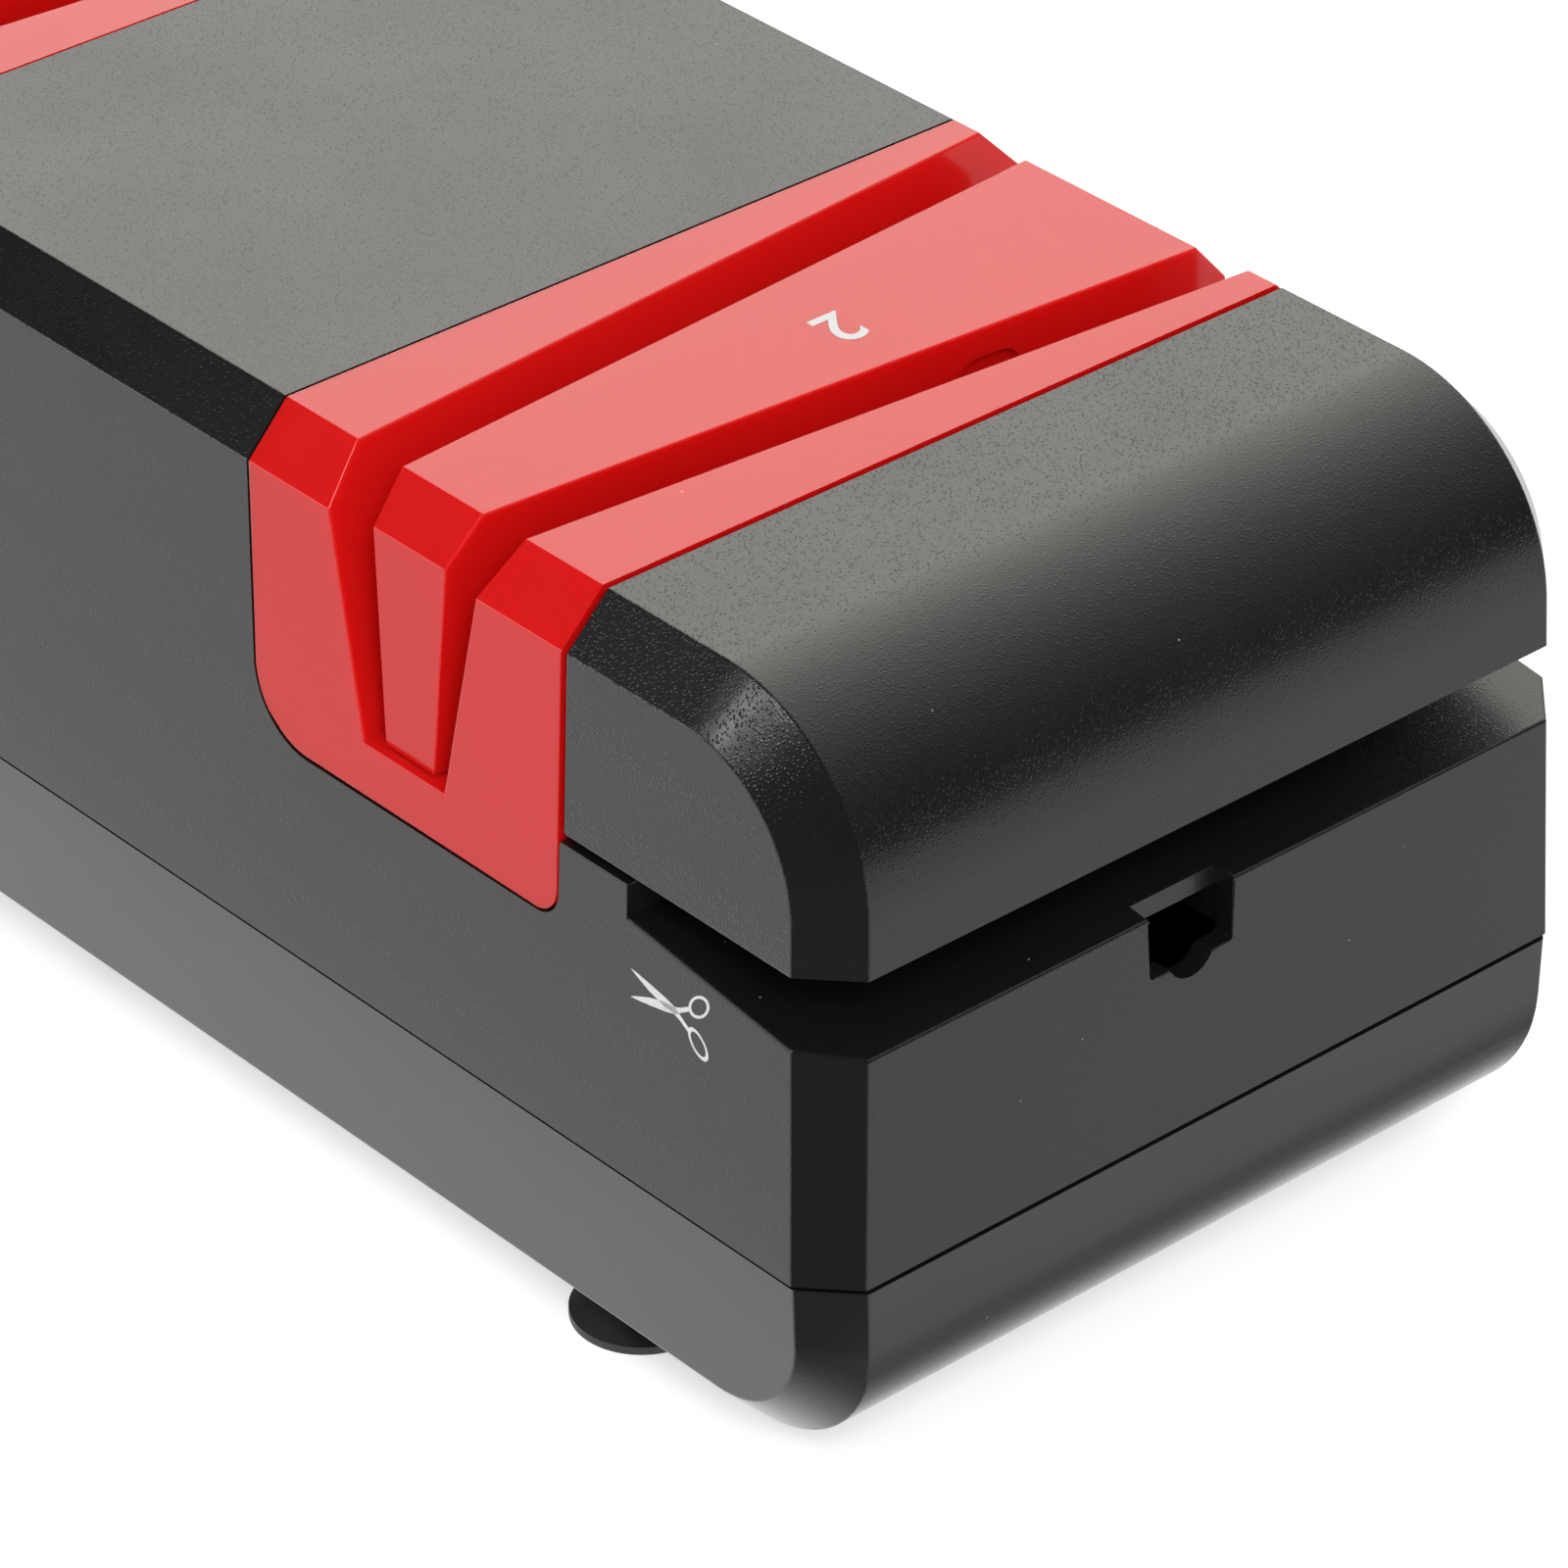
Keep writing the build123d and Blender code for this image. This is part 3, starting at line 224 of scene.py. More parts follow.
def newGroup(name, inputs, outputs):
    group = bpy.data.node_groups.new(name, "ShaderNodeTree")
    for label, kind, value in inputs:
        socket = group.interface.new_socket(label, in_out="INPUT", socket_type="NodeSocket" + kind)
        if value is not None:
            socket.default_value = value
    for label, kind in outputs:
        group.interface.new_socket(label, in_out="OUTPUT", socket_type="NodeSocket" + kind)
    tree = Tree(group)
    start = group.nodes.new("NodeGroupInput")
    end = group.nodes.new("NodeGroupOutput")
    return group, tree, start.outputs, end.inputs


grainPlan = {
    "grains": 2600.0,           # in a metre
    "specks": 420.0,
    "dot": (0.05, 0.52),        # where a dot's top ends and its foot begins, in cells
    "tall": (0.2, 1.0),         # the lowest and the highest dot
    "cloud": (38.0, 3.0, 0.55),     # patches in a metre, detail and roughness of the clouding
    "speck": (0.02, 0.055),     # where a speck fades out, in cells
    "bare": 0.94,               # share of the cells that hold no speck
}


def grainGroup(plan):
    # spark-eroded mould texture: round dots of uneven height, a broad clouding, rare pale specks
    # that are partly dust and partly painted glints
    group, tree, start, end = newGroup(
        "mouldGrain",
        [("Place", "Vector", None), ("Grains", "Float", plan["grains"]),
         ("Specks", "Float", plan["specks"])],
        [("Height", "Float"), ("Cloud", "Float"), ("Speck", "Float")])
    away, chance = tree.cells(start["Place"], start["Grains"])
    dome = tree.remap(away, *plan["dot"], 1.0, 0.0, smooth=True)
    tall = tree.remap(chance["Green"], 0.0, 1.0, *plan["tall"])
    tree.join(tree.math("MULTIPLY", dome, tall), end["Height"])
    tree.join(tree.noise(start["Place"], *plan["cloud"]), end["Cloud"])
    away, chance = tree.cells(start["Place"], start["Specks"])
    near = tree.remap(away, *plan["speck"], 1.0, 0.0)
    rare = tree.math("GREATER_THAN", chance["Red"], plan["bare"])
    tree.join(tree.math("MULTIPLY", near, rare), end["Speck"])
    return group


mouldGrain = grainGroup(grainPlan)


def startMaterial(name):
    material = bpy.data.materials.new(name)
    material.use_nodes = True
    tree = Tree(material.node_tree)
    shader = material.node_tree.nodes["Principled BSDF"]
    place = tree.add("TexCoord").outputs["Object"]
    return material, tree, shader, place


def useGrain(tree, place, grains, specks):
    node = tree.nodes.new("ShaderNodeGroup")
    node.node_tree = mouldGrain
    node.inputs["Grains"].default_value = grains
    node.inputs["Specks"].default_value = specks
    tree.join(place, node.inputs["Place"])
    return node.outputs


def addBump(tree, shader, height, strength, depth):
    bump = tree.add("Bump", {"Strength": strength, "Distance": depth})
    tree.join(height, bump.inputs["Height"])
    tree.join(bump.outputs["Normal"], shader.inputs["Normal"])


shellFinish = {
    "dark": (0.0068, 0.0068, 0.0070, 1.0),
    "pale": (0.0100, 0.0100, 0.0101, 1.0),
    # colour of the rare pale specks: dust, and painted glints
    "dustAndGlint": (0.30, 0.30, 0.29, 1.0),
    "roughness": (0.25, 0.31),
    "specular": 0.56,
    "grains": 3300.0,       # grains in a metre
    "specks": 420.0,
    "strength": 1.0,
    "depth": 0.000020,
    "soft": 0.0,
}
capFinish = dict(shellFinish, depth=0.000032)
trayFinish = dict(shellFinish, depth=0.000013, roughness=(0.24, 0.30), specular=0.74)
redFinish = {
    "dark": (0.68, 0.0070, 0.0065, 1.0),
    "pale": (0.73, 0.0090, 0.0080, 1.0),
    # colour of the rare pale specks: dust, and painted glints
    "dustAndGlint": (0.80, 0.45, 0.42, 1.0),
    "roughness": (0.13, 0.18),
    "specular": 0.39,
    "grains": 900.0,
    "specks": 260.0,
    "strength": 0.05,
    "depth": 0.00003,
    "soft": 0.42,           # share of light that wanders through the red plastic
}
softPlan = {
    "reach": 0.003,
    "colours": (1.0, 0.06, 0.05),       # how far red, green and blue wander
}
clouded = (0.3, 0.7)        # the usual low and high of a clouding or a streak


def mouldedFinish(name, plan):
    material, tree, shader, place = startMaterial(name)
    grain = useGrain(tree, place, plan["grains"], plan["specks"])
    body = tree.blend(grain["Cloud"], plan["dark"], plan["pale"])
    # pale specks painted into the colour: partly dust, partly painted glints
    tree.join(tree.blend(grain["Speck"], body, plan["dustAndGlint"]), shader.inputs["Base Color"])
    tree.join(tree.remap(grain["Cloud"], *clouded, *plan["roughness"]), shader.inputs["Roughness"])
    shader.inputs["Specular IOR Level"].default_value = plan["specular"]
    shader.inputs["Subsurface Weight"].default_value = plan["soft"]
    shader.inputs["Subsurface Radius"].default_value = softPlan["colours"]
    shader.inputs["Subsurface Scale"].default_value = softPlan["reach"]
    addBump(tree, shader, grain["Height"], plan["strength"], plan["depth"])
    return material


metalPlan = {
    "drawn": 0.06,              # the lines change this much slower along their length
    "streak": (1.0, 3.0, 0.6),
    "tarnish": (90.0, 3.0, 0.6),
    "tarnished": (0.35, 0.75),
    "dull": 0.72,               # share of the colour that tarnish leaves
    "smoother": 0.07,
    "rougher": 0.1,
    "bump": (0.08, 0.00008),    # strength and depth
}
metals = {                  # slot: name, colour, roughness, lines in a metre
    "steel": ("zincSteel", (0.56, 0.57, 0.58), 0.32, 2600.0),
    "hub_aluminium": ("turnedAluminium", (0.74, 0.75, 0.77), 0.28, 3200.0),
    "bronze": ("sinteredBronze", (0.60, 0.40, 0.19), 0.36, 1800.0),
}


def metalMaterial(plan, name, colour, roughness, lines):
    # turned or drawn metal: fine lines round the drive axis and a little tarnish
    material, tree, shader, place = startMaterial(name)
    stretch = tree.add("Mapping", vector_type="POINT")
    along = lines * plan["drawn"]
    stretch.inputs["Scale"].default_value = (lines, along, along)
    tree.join(place, stretch.inputs["Vector"])
    streak = tree.noise(stretch.outputs["Vector"], *plan["streak"])
    tarnish = tree.remap(tree.noise(place, *plan["tarnish"]), *plan["tarnished"], 0.0, 1.0)
    dull = tuple(channel * plan["dull"] for channel in colour)
    tree.join(tree.blend(tarnish, (*colour, 1.0), (*dull, 1.0)), shader.inputs["Base Color"])
    rough = (roughness - plan["smoother"], roughness + plan["rougher"])
    tree.join(tree.remap(streak, *clouded, *rough), shader.inputs["Roughness"])
    shader.inputs["Metallic"].default_value = 1.0
    addBump(tree, shader, streak, *plan["bump"])
    return material


gritPlan = {
    "grains": 2600.0,
    "bond": (0.10, 0.095, 0.09, 1.0),
    "grit": (0.36, 0.33, 0.31, 1.0),
    "roughness": (0.55, 0.95),
    "bump": (0.6, 0.00015),
}


def gritMaterial(plan):
    # bonded abrasive: pale grains in a darker bond
    material, tree, shader, place = startMaterial("bondedGrit")
    away, chance = tree.cells(place, plan["grains"])
    tree.join(tree.blend(chance["Red"], plan["bond"], plan["grit"]), shader.inputs["Base Color"])
    tree.join(tree.remap(chance["Green"], 0.0, 1.0, *plan["roughness"]), shader.inputs["Roughness"])
    addBump(tree, shader, away, *plan["bump"])
    return material


mouldingPlan = {
    "specks": 300.0,
    "clouding": (0.35, 0.7),
    "worn": (1.35, 0.004),      # a worn place's colour is this much paler, and has this added
    "uneven": 0.06,             # roughness either way
    "depth": 0.0001,
}
plainMouldings = {          # slot: name, colour, roughness, grains in a metre, strength of the grain
    "rubber": ("blackRubber", (0.012, 0.012, 0.012), 0.55, 1500.0, 0.12),
    "magnet": ("ferrite", (0.055, 0.055, 0.06), 0.62, 1800.0, 0.25),
    "black_part": ("blackMoulding", (0.014, 0.014, 0.0145), 0.38, 1500.0, 0.15),
    "board_laminate": ("greenLaminate", (0.022, 0.14, 0.05), 0.42, 900.0, 0.05),
    "white_part": ("whiteMoulding", (0.68, 0.67, 0.62), 0.45, 1200.0, 0.06),
    "capacitor_sleeve": ("blueSleeve", (0.015, 0.025, 0.10), 0.3, 900.0, 0.03),
    "lead_insulation": ("redInsulation", (0.36, 0.014, 0.012), 0.42, 1200.0, 0.05),
}


def plainMoulding(plan, name, colour, roughness, grains, strength):
    material, tree, shader, place = startMaterial(name)
    grain = useGrain(tree, place, grains, plan["specks"])
    paler, added = plan["worn"]
    worn = tuple(min(1.0, channel * paler + added) for channel in colour)
    cloud = tree.remap(grain["Cloud"], *plan["clouding"], 0.0, 1.0)
    tree.join(tree.blend(cloud, (*colour, 1.0), (*worn, 1.0)), shader.inputs["Base Color"])
    rough = (roughness - plan["uneven"], roughness + plan["uneven"])
    tree.join(tree.remap(grain["Cloud"], *clouded, *rough), shader.inputs["Roughness"])
    addBump(tree, shader, grain["Height"], strength, plan["depth"])
    return material


inkPlan = {
    "patches": (2200.0, 2.0, 0.6),
    "thin": (0.55, 0.8),
    "thinnest": 0.45,           # share of the ink that is gone there
    "full": (0.80, 0.80, 0.79, 1.0),
    "gone": (0.48, 0.48, 0.47, 1.0),
    "roughness": (0.42, 0.6),
}


def inkMaterial(plan):
    # pad-printed white, a little thin in places
    material, tree, shader, place = startMaterial("whiteInk")
    patches = tree.noise(place, *plan["patches"])
    thin = tree.remap(patches, *plan["thin"], 0.0, plan["thinnest"])
    tree.join(tree.blend(thin, plan["full"], plan["gone"]), shader.inputs["Base Color"])
    rough = tree.remap(thin, 0.0, plan["thinnest"], *plan["roughness"])
    tree.join(rough, shader.inputs["Roughness"])
    return material


finishes = {
    "black_shell": mouldedFinish("blackShell", shellFinish),
    "red_guide": mouldedFinish("redGloss", redFinish),
    "abrasive": gritMaterial(gritPlan),
}
for slot, values in metals.items():
    finishes[slot] = metalMaterial(metalPlan, *values)
for slot, values in plainMouldings.items():
    finishes[slot] = plainMoulding(mouldingPlan, *values)
capMaterial = mouldedFinish("blackCap", capFinish)
ownFinish = {
    "base_tray": mouldedFinish("blackTray", trayFinish),
    "nose_cap": capMaterial,
    "end_cap": capMaterial,
}
whiteInk = inkMaterial(inkPlan)

slotOf = {part["node"]: part["material_slot"] for part in frame["record"]["subparts"]}


def dress(piece, material):
    piece.data.materials.clear()
    piece.data.materials.append(material)


for name, node in nodes.items():
    dress(node, ownFinish.get(name, finishes[slotOf[name]]))
print("finishes made:", len(finishes))

# the visible mouldings: their facets are merged and their edges shaded round
mouldings = {               # name: its nodes, and the width of its broken edges in mm
    "mainShell": (("main_housing", "lower_jaw"), 0.26),
    "baseTray": (("base_tray",), 0.26),
    "noseCap": (("nose_cap",), 0.24),
    "endCap": (("end_cap",), 0.24),
    "fineSaddle": (("fine_saddle",), 0.55),
    "coarseSaddle": (("coarse_saddle",), 0.55),
    "fineWedge": (("fine_wedge",), 0.2),
    "coarseWedge": (("coarse_wedge",), 0.2),
    "rocker": (("switch_rocker",), 0.2),
    "switchFrame": (("switch_body",), 0.2),
    "inlet": (("power_jack",), 0.15),
    "footNoseLeft": (("foot_1",), 0.1),
    "footNoseRight": (("foot_2",), 0.1),
    "footFarLeft": (("foot_3",), 0.1),
    "footFarRight": (("foot_4",), 0.1),
}
noAngle = 4.0               # radians, for edges that have no angle to measure
smoothing = {
    "weld": 0.002 * mm,
    "flat": 0.3,                # degrees up to which facets are one face
    "round": 38.0,              # degrees up to which an edge is shaded round
    "sharp": 25.0,              # degrees from which an edge is broken
    "shortest": 0.6 * mm,       # shorter edges and smaller faces are left as they are
    "smallest": 1.5 * mm * mm,
    "steps": 2,                 # faces across a broken edge
    "nearGap": 0.6 * mm,        # edges this near a shadow gap stay crisp
    "saddleShare": 0.4,         # a saddle's edges have this share of its trough rims' width
    "slanting": 0.4,            # least slope to the side and upwards of an end chamfer
    "upright": 0.8,             # least slope lengthwise of a trough's wall
}
gaps = {
    "seam": 0.3 * mm,           # the shadow line between tray and housing is this much taller
    "saddle": 0.14 * mm,        # and the one round each saddle this much wider
    "floor": (0.05 * mm, 0.5 * mm),     # the seam's floor lies between these depths
}
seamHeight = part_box("main_housing")[0][2]
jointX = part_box("main_housing")[1][0]
saddleBoxes = [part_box("fine_saddle"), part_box("coarse_saddle")]


def copyNode(name, nodeName):
    # a CAD node's triangles are loose, so its copy is welded
    copy = bpy.data.objects.new(name, nodes[nodeName].data.copy())
    bpy.context.scene.collection.objects.link(copy)
    editAll(copy)
    bpy.ops.mesh.remove_doubles(threshold=smoothing["weld"])
    leaveEdit()
    return copy


def uniteWith(piece, other):
    makeActive(piece)
    union = piece.modifiers.new("union", "BOOLEAN")
    union.operation = "UNION"
    union.solver = "EXACT"
    union.object = other
    bpy.ops.object.modifier_apply(modifier="union")
    bpy.data.objects.remove(other)


def joinSeam(piece, reach):
    # a corner of one wall lies on an edge of the other, so that edge is split there and merged
    mesh = bmesh.new()
    mesh.from_mesh(piece.data)
    for corner in [vert for vert in mesh.verts if abs(vert.co.x - jointX) < reach]:
        for edge in list(mesh.edges):
            first, last = edge.verts
            if corner in edge.verts or max(abs(end.co.x - jointX) for end in edge.verts) > reach:
                continue
            along = last.co - first.co
            share = (corner.co - first.co).dot(along) / max(along.length_squared, reach * reach)
            if 0 < share < 1 and (first.co + along * share - corner.co).length < reach:
                bmesh.utils.edge_split(edge, first, share)
    bmesh.ops.remove_doubles(mesh, verts=mesh.verts, dist=reach)
    mesh.to_mesh(piece.data)
    mesh.free()


def openSeam(piece):
    # the groove's floor goes down, so that the shadow line shows at its real height
    shallow, deep = gaps["floor"]
    for vert in piece.data.vertices:
        if shallow < seamHeight - vert.co.z < deep:
            vert.co.z -= gaps["seam"]


def openGap(piece, box):
    # a saddle is a little smaller than its seat, with its top at the same height
    middle = (box[0][0] + box[1][0]) / 2
    wide = 1 - 2 * gaps["saddle"] / (box[1][0] - box[0][0])
    tall = 1 - gaps["saddle"] / (box[1][2] - box[0][2])
    for vert in piece.data.vertices:
        vert.co.x = middle + (vert.co.x - middle) * wide
        vert.co.z = box[1][2] + (vert.co.z - box[1][2]) * tall


def besideGap(edge, reach):
    # along the seam, or on the rim of a saddle's seat
    if all(abs(end.co.z - seamHeight) < reach for end in edge.verts):
        return True
    middle = (edge.verts[0].co + edge.verts[1].co) / 2
    return any(low[0] - reach < middle.x < high[0] + reach and middle.z > low[2] - reach
               for low, high in saddleBoxes)


def isTroughRim(edge, plan):
    # where a trough's wall runs out through the chamfer at either end
    slopes = [face.normal for face in edge.link_faces]
    slanting = [slope for slope in slopes if min(abs(slope.y), slope.z) > plan["slanting"]]
    upright = [slope for slope in slopes if abs(slope.x) > plan["upright"]]
    return len(slanting) == 1 and len(upright) == 1


def breakEdges(piece, width, plan):
    # mould edges are never quite sharp: the long outer ones get a narrow rounding
    mesh = bmesh.new()
    mesh.from_mesh(piece.data)
    weight = mesh.edges.layers.float.new("bevel_weight_edge")
    for edge in mesh.edges:
        if len(edge.link_faces) != 2 or edge.calc_length() < plan["shortest"]:
            continue
        if piece.name in ("mainShell", "baseTray") and besideGap(edge, plan["nearGap"]):
            continue
        large = min(face.calc_area() for face in edge.link_faces) > plan["smallest"]
        if large and edge.calc_face_angle_signed() > radians(plan["sharp"]):
            full = "Saddle" not in piece.name or isTroughRim(edge, plan)
            edge[weight] = 1.0 if full else plan["saddleShare"]
    mesh.to_mesh(piece.data)
    mesh.free()
    makeActive(piece)
    bevel = piece.modifiers.new("edges", "BEVEL")
    bevel.limit_method = "WEIGHT"
    bevel.width = width
    bevel.segments = plan["steps"]
    bevel.use_clamp_overlap = False
    bpy.ops.object.modifier_apply(modifier="edges")


def flatAreas(mesh, limit):
    # the area of the flat that each face belongs to
    areas = {}
    for seed in mesh.faces:
        if seed in areas:
            continue
        flat, reached = {seed}, [seed]
        while reached:
            for edge in reached.pop().edges:
                for face in edge.link_faces:
                    if face in flat or face in areas:
                        continue
                    if face.normal.angle(seed.normal, noAngle) < limit:
                        flat.add(face)
                        reached.append(face)
        area = sum(face.calc_area() for face in flat)
        areas.update((face, area) for face in flat)
    return areas


def evenNormals(piece, plan):
    # a corner takes its normal from the widest flat in its rounding, so that flats stay flat
    mesh = bmesh.new()
    mesh.from_mesh(piece.data)
    areas = flatAreas(mesh, radians(plan["flat"]))
    limit = radians(plan["round"])
    normals = []
    for face in mesh.faces:
        for corner in face.loops:
            near, reached = {face}, [face]
            while reached:
                for edge in reached.pop().edges:
                    if corner.vert not in edge.verts or edge.calc_face_angle(noAngle) > limit:
                        continue
                    for other in edge.link_faces:
                        if other not in near:
                            near.add(other)
                            reached.append(other)
            whole = sum((other.normal * areas[other] for other in near), Vector())
            normals.append(whole.normalized())
    mesh.free()
    bpy.ops.object.shade_smooth()
    piece.data.normals_split_custom_set(normals)


def smoothMoulding(name, nodeNames, width, plan):
    piece = copyNode(name, nodeNames[0])
    for nodeName in nodeNames[1:]:
        uniteWith(piece, copyNode(name + "Part", nodeName))
        joinSeam(piece, plan["weld"])
    if name == "baseTray":
        openSeam(piece)
    if name in ("fineSaddle", "coarseSaddle"):
        openGap(piece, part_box(nodeNames[0]))
    editAll(piece)
    bpy.ops.mesh.remove_doubles(threshold=plan["weld"])
    bpy.ops.mesh.dissolve_limited(angle_limit=radians(plan["flat"]))
    leaveEdit()
    breakEdges(piece, width * mm, plan)
    evenNormals(piece, plan)
    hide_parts(*nodeNames)
    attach(piece, nodes[nodeNames[0]]["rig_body"])


for name, (nodeNames, width) in mouldings.items():
    smoothMoulding(name, nodeNames, width, smoothing)
print("mouldings smoothed:", len(mouldings))


def surfaceFrame(nodeName, start, towards, upright):
    # where a ray meets a node: local Z leaves the surface, local Y follows upright
    shape = nodes[nodeName].data
    tree = BVHTree.FromPolygons([vert.co for vert in shape.vertices],
                                [face.vertices for face in shape.polygons])
    place, normal, _, _ = tree.ray_cast(Vector(start), Vector(towards))
    if place is None:
        raise SystemExit(f"no surface of {nodeName} below the mark")
    up = (Vector(upright) - normal * normal.dot(Vector(upright))).normalized()
    across = up.cross(normal)
    return turnedFrame(place, across, up, normal)


markPlan = {
    "ink": 0.03 * mm,           # thickness of the printed ink
    "numeralHeight": 7.4 * mm,
    "heavier": 0.09 * mm,       # added to each stroke
    "numeralX": 55.8 * mm,
    "numeralY": 5.3 * mm,
    "steps": 10,                # points on each curve of a character
    "clear": 10 * mm,           # a mark's place is looked for from this far off the object
}


def printText(name, words, height, place, body):
    clearSelection()
    bpy.ops.object.text_add()
    label = bpy.context.active_object
    label.name = name
    label.data.body = words
    label.data.align_x = "CENTER"
    label.data.align_y = "CENTER"
    label.data.size = height
    label.data.extrude = markPlan["ink"]
    label.data.offset = markPlan["heavier"]
    label.data.resolution_u = markPlan["steps"]
    bpy.ops.object.convert(target="MESH")
    label = bpy.context.active_object
    settle(label, place)
    dress(label, whiteInk)
    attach(label, body)


def addNumerals(plan):
    for name, words, nodeName, side in (("fineNumeral", "2", "fine_wedge", 1),
                                        ("coarseNumeral", "1", "coarse_wedge", -1)):
        above = (side * plan["numeralX"], plan["numeralY"], cadBox[1][2] + plan["clear"])
        place = surfaceFrame(nodeName, above, (0, 0, -1), (1, 0, 0))
        printText(name, words, plan["numeralHeight"], place, "body")


addNumerals(markPlan)

scissorsPlan = {
    "x": 91.9 * mm,             # pivot
    "z": 44.4 * mm,
    "open": 12.5,               # degrees between a blade and the middle line
    "blade": ((1.2, -0.50, 0.42), (3.2, -0.40, 0.36), (4.9, -0.10, 0.27), (5.8, 0.12, 0.18)),
    "shank": ((0.9, -0.26, 0.22), (2.4, -0.20, 0.22)),      # reach, lower and upper side in mm
    "bendFrom": 0.3 * mm,
    "bend": 20.0,
    "ring": (1.36 * mm, 0.92 * mm),
    "ringWire": 0.15,           # thickness, as a share of the radius
    "ringHold": 0.93,           # share of the radius by which the ring stands off the shank
    "ringSteps": (40, 8),
    "stub": (0.2 * mm, 0.7 * mm),       # the strip before it is drawn out
    "drawn": 0.1 * mm,
    "middle": 0.02 * mm,        # what lies above this is the strip's upper side
}


def stretchStrip(strip, way, sections, plan):
    # each section is extruded from the end face and set to its reach and its two sides
    pull = {"value": (way * plan["drawn"], 0, 0)}
    for reach, low, high in sections:
        bpy.ops.mesh.select_all(action="DESELECT")
        mesh = bmesh.from_edit_mesh(strip.data)
        end = max(mesh.faces, key=lambda face: way * face.calc_center_median().x)
        end.select_set(True)
        bmesh.update_edit_mesh(strip.data)
        bpy.ops.mesh.extrude_region_move(TRANSFORM_OT_translate=pull)
        mesh = bmesh.from_edit_mesh(strip.data)
        for vert in mesh.verts:
            if vert.select:
                vert.co.x = way * reach * mm
                vert.co.y = (high if vert.co.y > plan["middle"] else low) * mm
        bmesh.update_edit_mesh(strip.data)


def scissorHalf(name, plan, side):
    # blade and shank are one strip, bent behind the pivot, with a finger ring on its end
    clearSelection()
    ink = markPlan["ink"]
    bpy.ops.mesh.primitive_cube_add(size=1, scale=(*plan["stub"], 2 * ink))
    strip = bpy.context.active_object
    strip.name = name
    bpy.ops.object.transform_apply(location=True, rotation=False, scale=True)
    bpy.ops.object.mode_set(mode="EDIT")
    stretchStrip(strip, -1, plan["blade"], plan)
    stretchStrip(strip, 1, plan["shank"], plan)
    leaveEdit()
    clearSelection()
    reach = plan["shank"][-1][0] * mm + plan["ring"][0] * plan["ringHold"]
    around, across = plan["ringSteps"]
    bpy.ops.mesh.primitive_torus_add(major_radius=1.0, minor_radius=plan["ringWire"],
                                     major_segments=around, minor_segments=across,
                                     location=(reach, 0, 0))
    ring = bpy.context.active_object
    ring.scale = (*plan["ring"], ink / plan["ringWire"])
    bpy.ops.object.transform_apply(location=True, rotation=False, scale=True)
    strip.select_set(True)
    bpy.context.view_layer.objects.active = strip
    bpy.ops.object.join()
    for vert in strip.data.vertices:
        past = max(0.0, vert.co.x - plan["bendFrom"])
        vert.co.y -= past * sin(radians(plan["bend"]))
        vert.co.x -= past * (1 - cos(radians(plan["bend"])))
    strip.data.transform(Matrix.Rotation(radians(-plan["open"]), 4, "Z"))
    if side < 0:
        strip.data.transform(Matrix.Diagonal((1, -1, 1, 1)))
        strip.data.flip_normals()
    return strip


def addScissors(plan):
    halves = [scissorHalf("scissorsUpper", plan, 1), scissorHalf("scissorsLower", plan, -1)]
    start = (plan["x"], cadBox[0][1] - markPlan["clear"], plan["z"])
    place = surfaceFrame("lower_jaw", start, (0, 1, 0), (0, 0, 1))
    for half in halves:
        settle(half, place)
        dress(half, whiteInk)
        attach(half, "body")


addScissors(scissorsPlan)

rockerPlan = {"markHeight": 3.4 * mm, "away": 3.3 * mm}


def addRockerMarks(plan):
    pivot = Vector(joints["rocker_tilt"]["pos_m"])
    for name, words, way in (("markOn", "I", 1), ("markOff", "O", -1)):
        start = (cadBox[0][0] - markPlan["clear"], 0, pivot.z + way * plan["away"])
        place = surfaceFrame("switch_rocker", start, (1, 0, 0), (0, 0, 1))
        printText(name, words, plan["markHeight"], place, "rocker")


addRockerMarks(rockerPlan)
print("marks printed")

stagePlan = {
    "floorSize": 6.0,
    "floorDrop": 0.05 * mm,     # just under the cups' rims
    "floorColour": (0.80, 0.80, 0.80, 1.0),
    "floorRoughness": 0.9,
    "floorSeen": 0.56,          # own brightness towards the camera
    # painted light and painted shadow on the floor, seen only in reflections: brighter beside the
    # body, painted shadow close to the nose and in front of its near corner
    "mirroredLeft": (1.49, 1.16),       # brightness in reflections: beside the body, farther away
    "mirroredNose": (0.25, 0.92),       # close to the nose, farther away
    "mirroredCorner": 0.12,     # in front of the nose's near corner
    "leftFade": (-0.058, -0.080),       # in Y, where each of these gives way to the next
    "cornerFade": (-0.046, -0.062),
    "noseFade": (0.113, 0.132),         # in X
    "sideFade": (0.100, 0.118),
    "around": 0.68,             # light that reaches every side
    "mirrorLow": 0.045,
    "boxColour": (1.0, 0.985, 0.935, 1.0),
    "boxPeak": 2.78,            # large rear light in reflections
    "boxEdge": (0.02, 0.30),    # it starts behind the body,
    "boxFoot": (0.12, 0.42),    # fades out towards the horizon,
    "boxAlong": (0.85, -0.634),         # and grows from the nose end to the far end
    "boxPower": 1.5,
    "lampsAim": (0, 0, 0.04),
}
lamps = {                   # a mirrored lamp shows only in gloss, and the other one only lights
    "fillLamp": {"place": (0.86, -0.60, 0.88), "size": 0.42, "power": 7.0, "mirrored": False},
    "sideLamp": {"place": (-0.35, -0.90, 0.86), "size": 0.09, "power": 1.2, "mirrored": True},
    "rimLamp": {"place": (-0.03, -0.79, 1.00), "size": 0.18, "power": 2.6, "mirrored": True},
    "lowLamp": {"place": (-0.78, -1.01, 0.24), "size": 0.5, "power": 2.4, "mirrored": True},
}


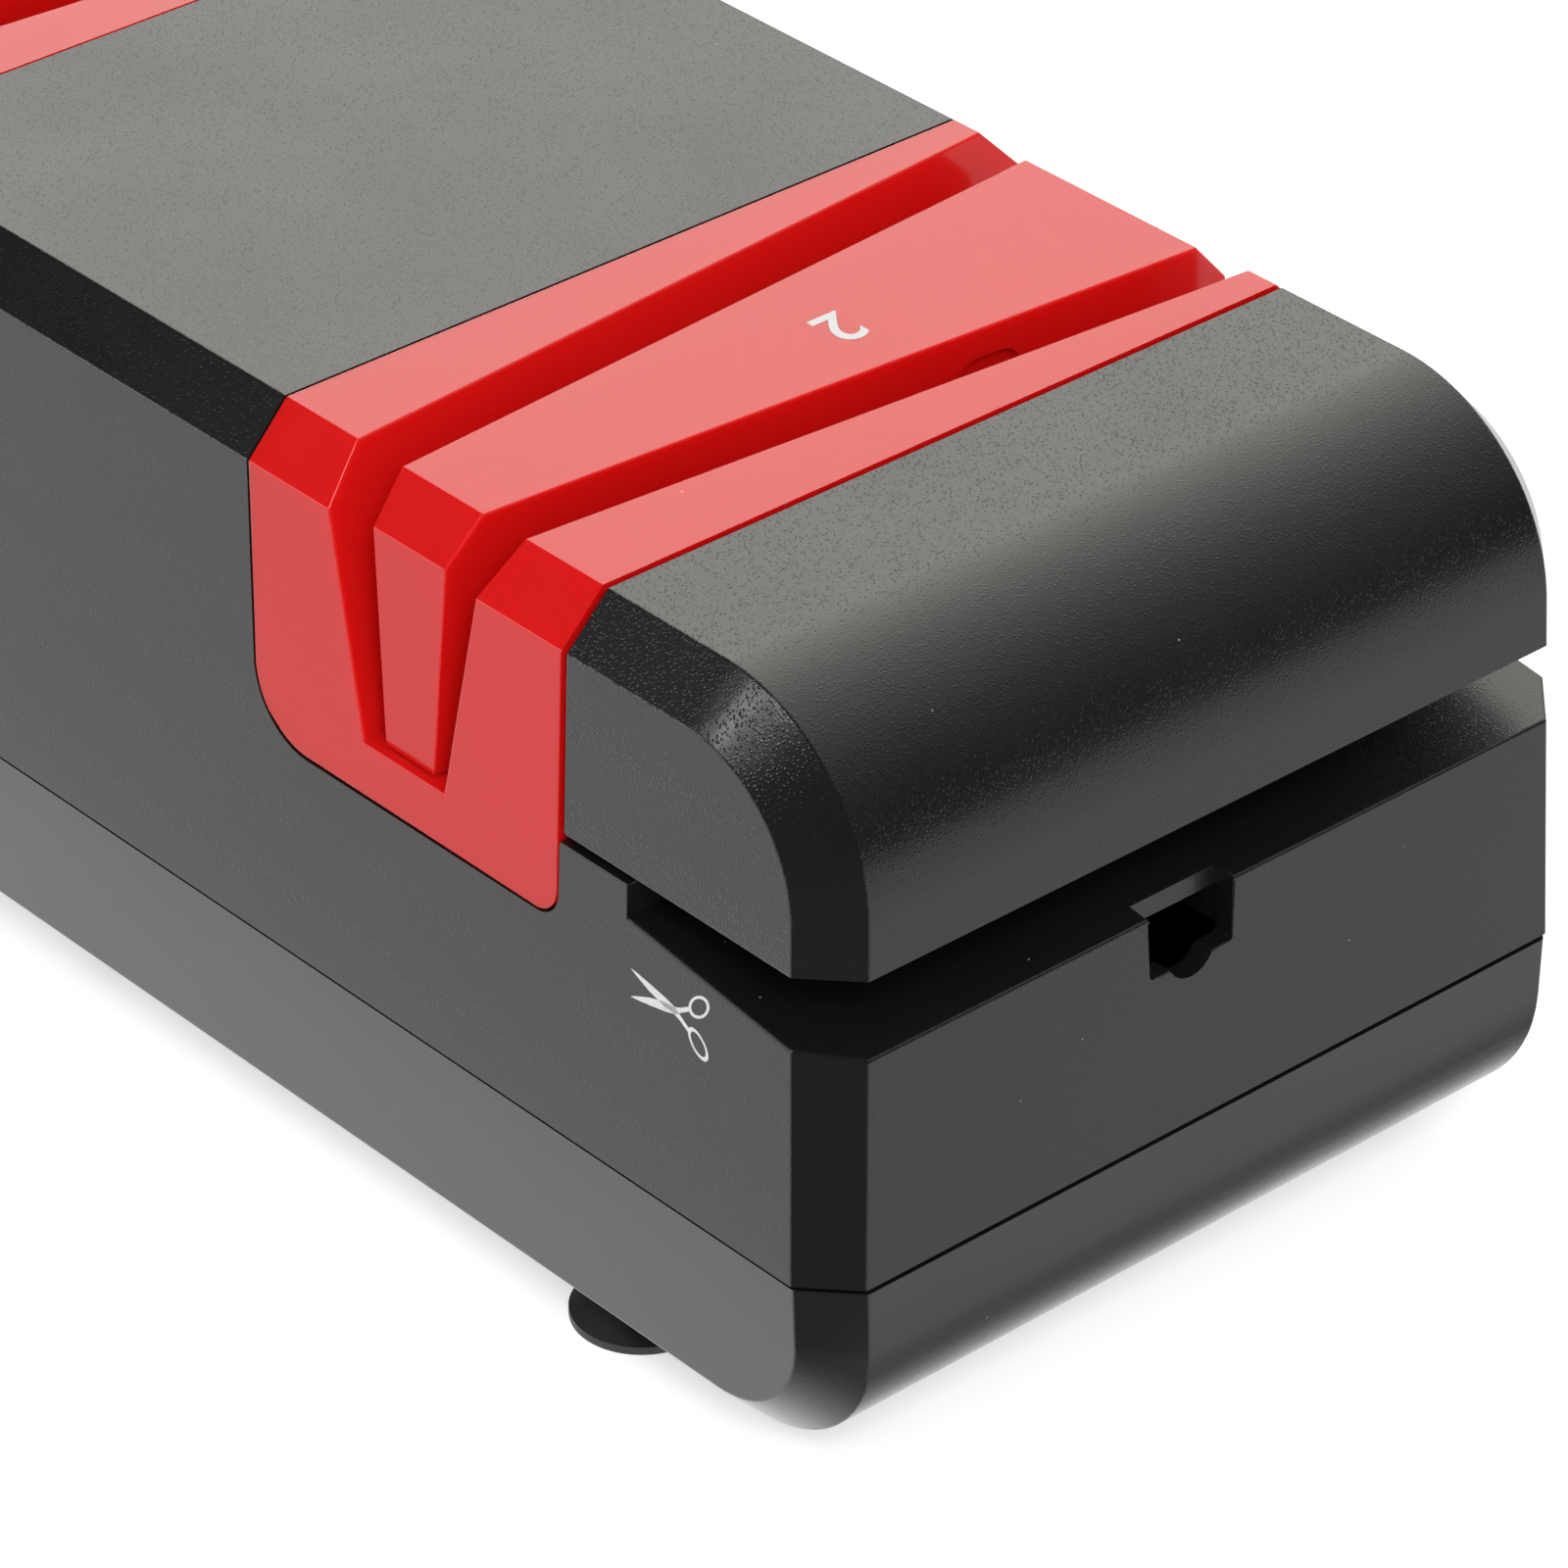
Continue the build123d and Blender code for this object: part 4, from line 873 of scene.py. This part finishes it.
def addFloor(plan):
    clearSelection()
    bpy.ops.mesh.primitive_plane_add(size=plan["floorSize"], location=(0, 0, -plan["floorDrop"]))
    floor = bpy.context.active_object
    floor.name = "floor"
    material = bpy.data.materials.new("paleFloor")
    material.use_nodes = True
    tree = Tree(material.node_tree)
    shader = material.node_tree.nodes["Principled BSDF"]
    shader.inputs["Roughness"].default_value = plan["floorRoughness"]
    shader.inputs["Specular IOR Level"].default_value = 0.0
    shader.inputs["Emission Color"].default_value = (1.0, 1.0, 1.0, 1.0)
    split = tree.add("SeparateXYZ")
    tree.join(tree.add("TexCoord").outputs["Object"], split.inputs["Vector"])
    along, across = split.outputs["X"], split.outputs["Y"]
    # in reflections the floor shows painted light and painted shadow in place of its own shading:
    # brighter beside the body, painted shadow of the body close to the nose and its near corner
    left = tree.remap(across, *plan["leftFade"], *plan["mirroredLeft"], smooth=True)
    nose = tree.remap(along, *plan["noseFade"], *plan["mirroredNose"], smooth=True)
    pastNose = tree.remap(along, *plan["sideFade"], 0.0, 1.0, smooth=True)
    nearSide = tree.remap(across, *plan["cornerFade"], 0.0, 1.0, smooth=True)
    mirrored = tree.mixed(pastNose, left, tree.mixed(nearSide, nose, plan["mirroredCorner"]))
    path, glossy = tree.rays()
    tree.join(tree.blend(glossy, plan["floorColour"], (0.0, 0.0, 0.0, 1.0)),
              shader.inputs["Base Color"])
    seen = tree.math("MULTIPLY", path["Is Camera Ray"], plan["floorSeen"])
    tree.join(tree.math("ADD", seen, tree.math("MULTIPLY", glossy, mirrored)),
              shader.inputs["Emission Strength"])
    floor.data.materials.append(material)


def addWorld(plan):
    world = bpy.data.worlds.new("softStudio")
    bpy.context.scene.world = world
    world.use_nodes = True
    tree = Tree(world.node_tree)
    world.node_tree.nodes.clear()
    split = tree.add("SeparateXYZ")
    tree.join(tree.add("TexCoord").outputs["Generated"], split.inputs["Vector"])
    rear = tree.remap(split.outputs["Y"], *plan["boxEdge"], 0.0, 1.0, smooth=True)
    along = tree.math("POWER", tree.remap(split.outputs["X"], *plan["boxAlong"], 0.0, 1.0),
                      plan["boxPower"])
    high = tree.remap(split.outputs["Z"], *plan["boxFoot"], 0.0, 1.0, smooth=True)
    shape = tree.math("MULTIPLY", tree.math("MULTIPLY", rear, along), high)
    box = tree.math("MULTIPLY", shape, plan["boxPeak"])
    mirrored = tree.math("ADD", box, plan["mirrorLow"])
    path, glossy = tree.rays()
    level = tree.mixed(glossy, plan["around"], mirrored)
    background = tree.add("Background")
    tree.join(tree.blend(glossy, (1.0, 1.0, 1.0, 1.0), plan["boxColour"]),
              background.inputs["Color"])
    tree.join(tree.mixed(path["Is Camera Ray"], level, 1.0), background.inputs["Strength"])
    output = tree.add("OutputWorld")
    tree.join(background.outputs[0], output.inputs["Surface"])


def addLamp(name, plan, aim):
    data = bpy.data.lights.new(name, "AREA")
    data.shape = "SQUARE"
    data.size = plan["size"]
    data.energy = plan["power"]
    lamp = bpy.data.objects.new(name, data)
    bpy.context.scene.collection.objects.link(lamp)
    lamp.location = plan["place"]
    towards = Vector(aim) - lamp.location
    lamp.rotation_euler = towards.to_track_quat("-Z", "Y").to_euler()
    lamp.visible_glossy = plan["mirrored"]
    lamp.visible_diffuse = not plan["mirrored"]


addFloor(stagePlan)
addWorld(stagePlan)
for name, plan in lamps.items():
    addLamp(name, plan, stagePlan["lampsAim"])
bpy.context.scene.view_settings.view_transform = "Standard"
print("stage set")
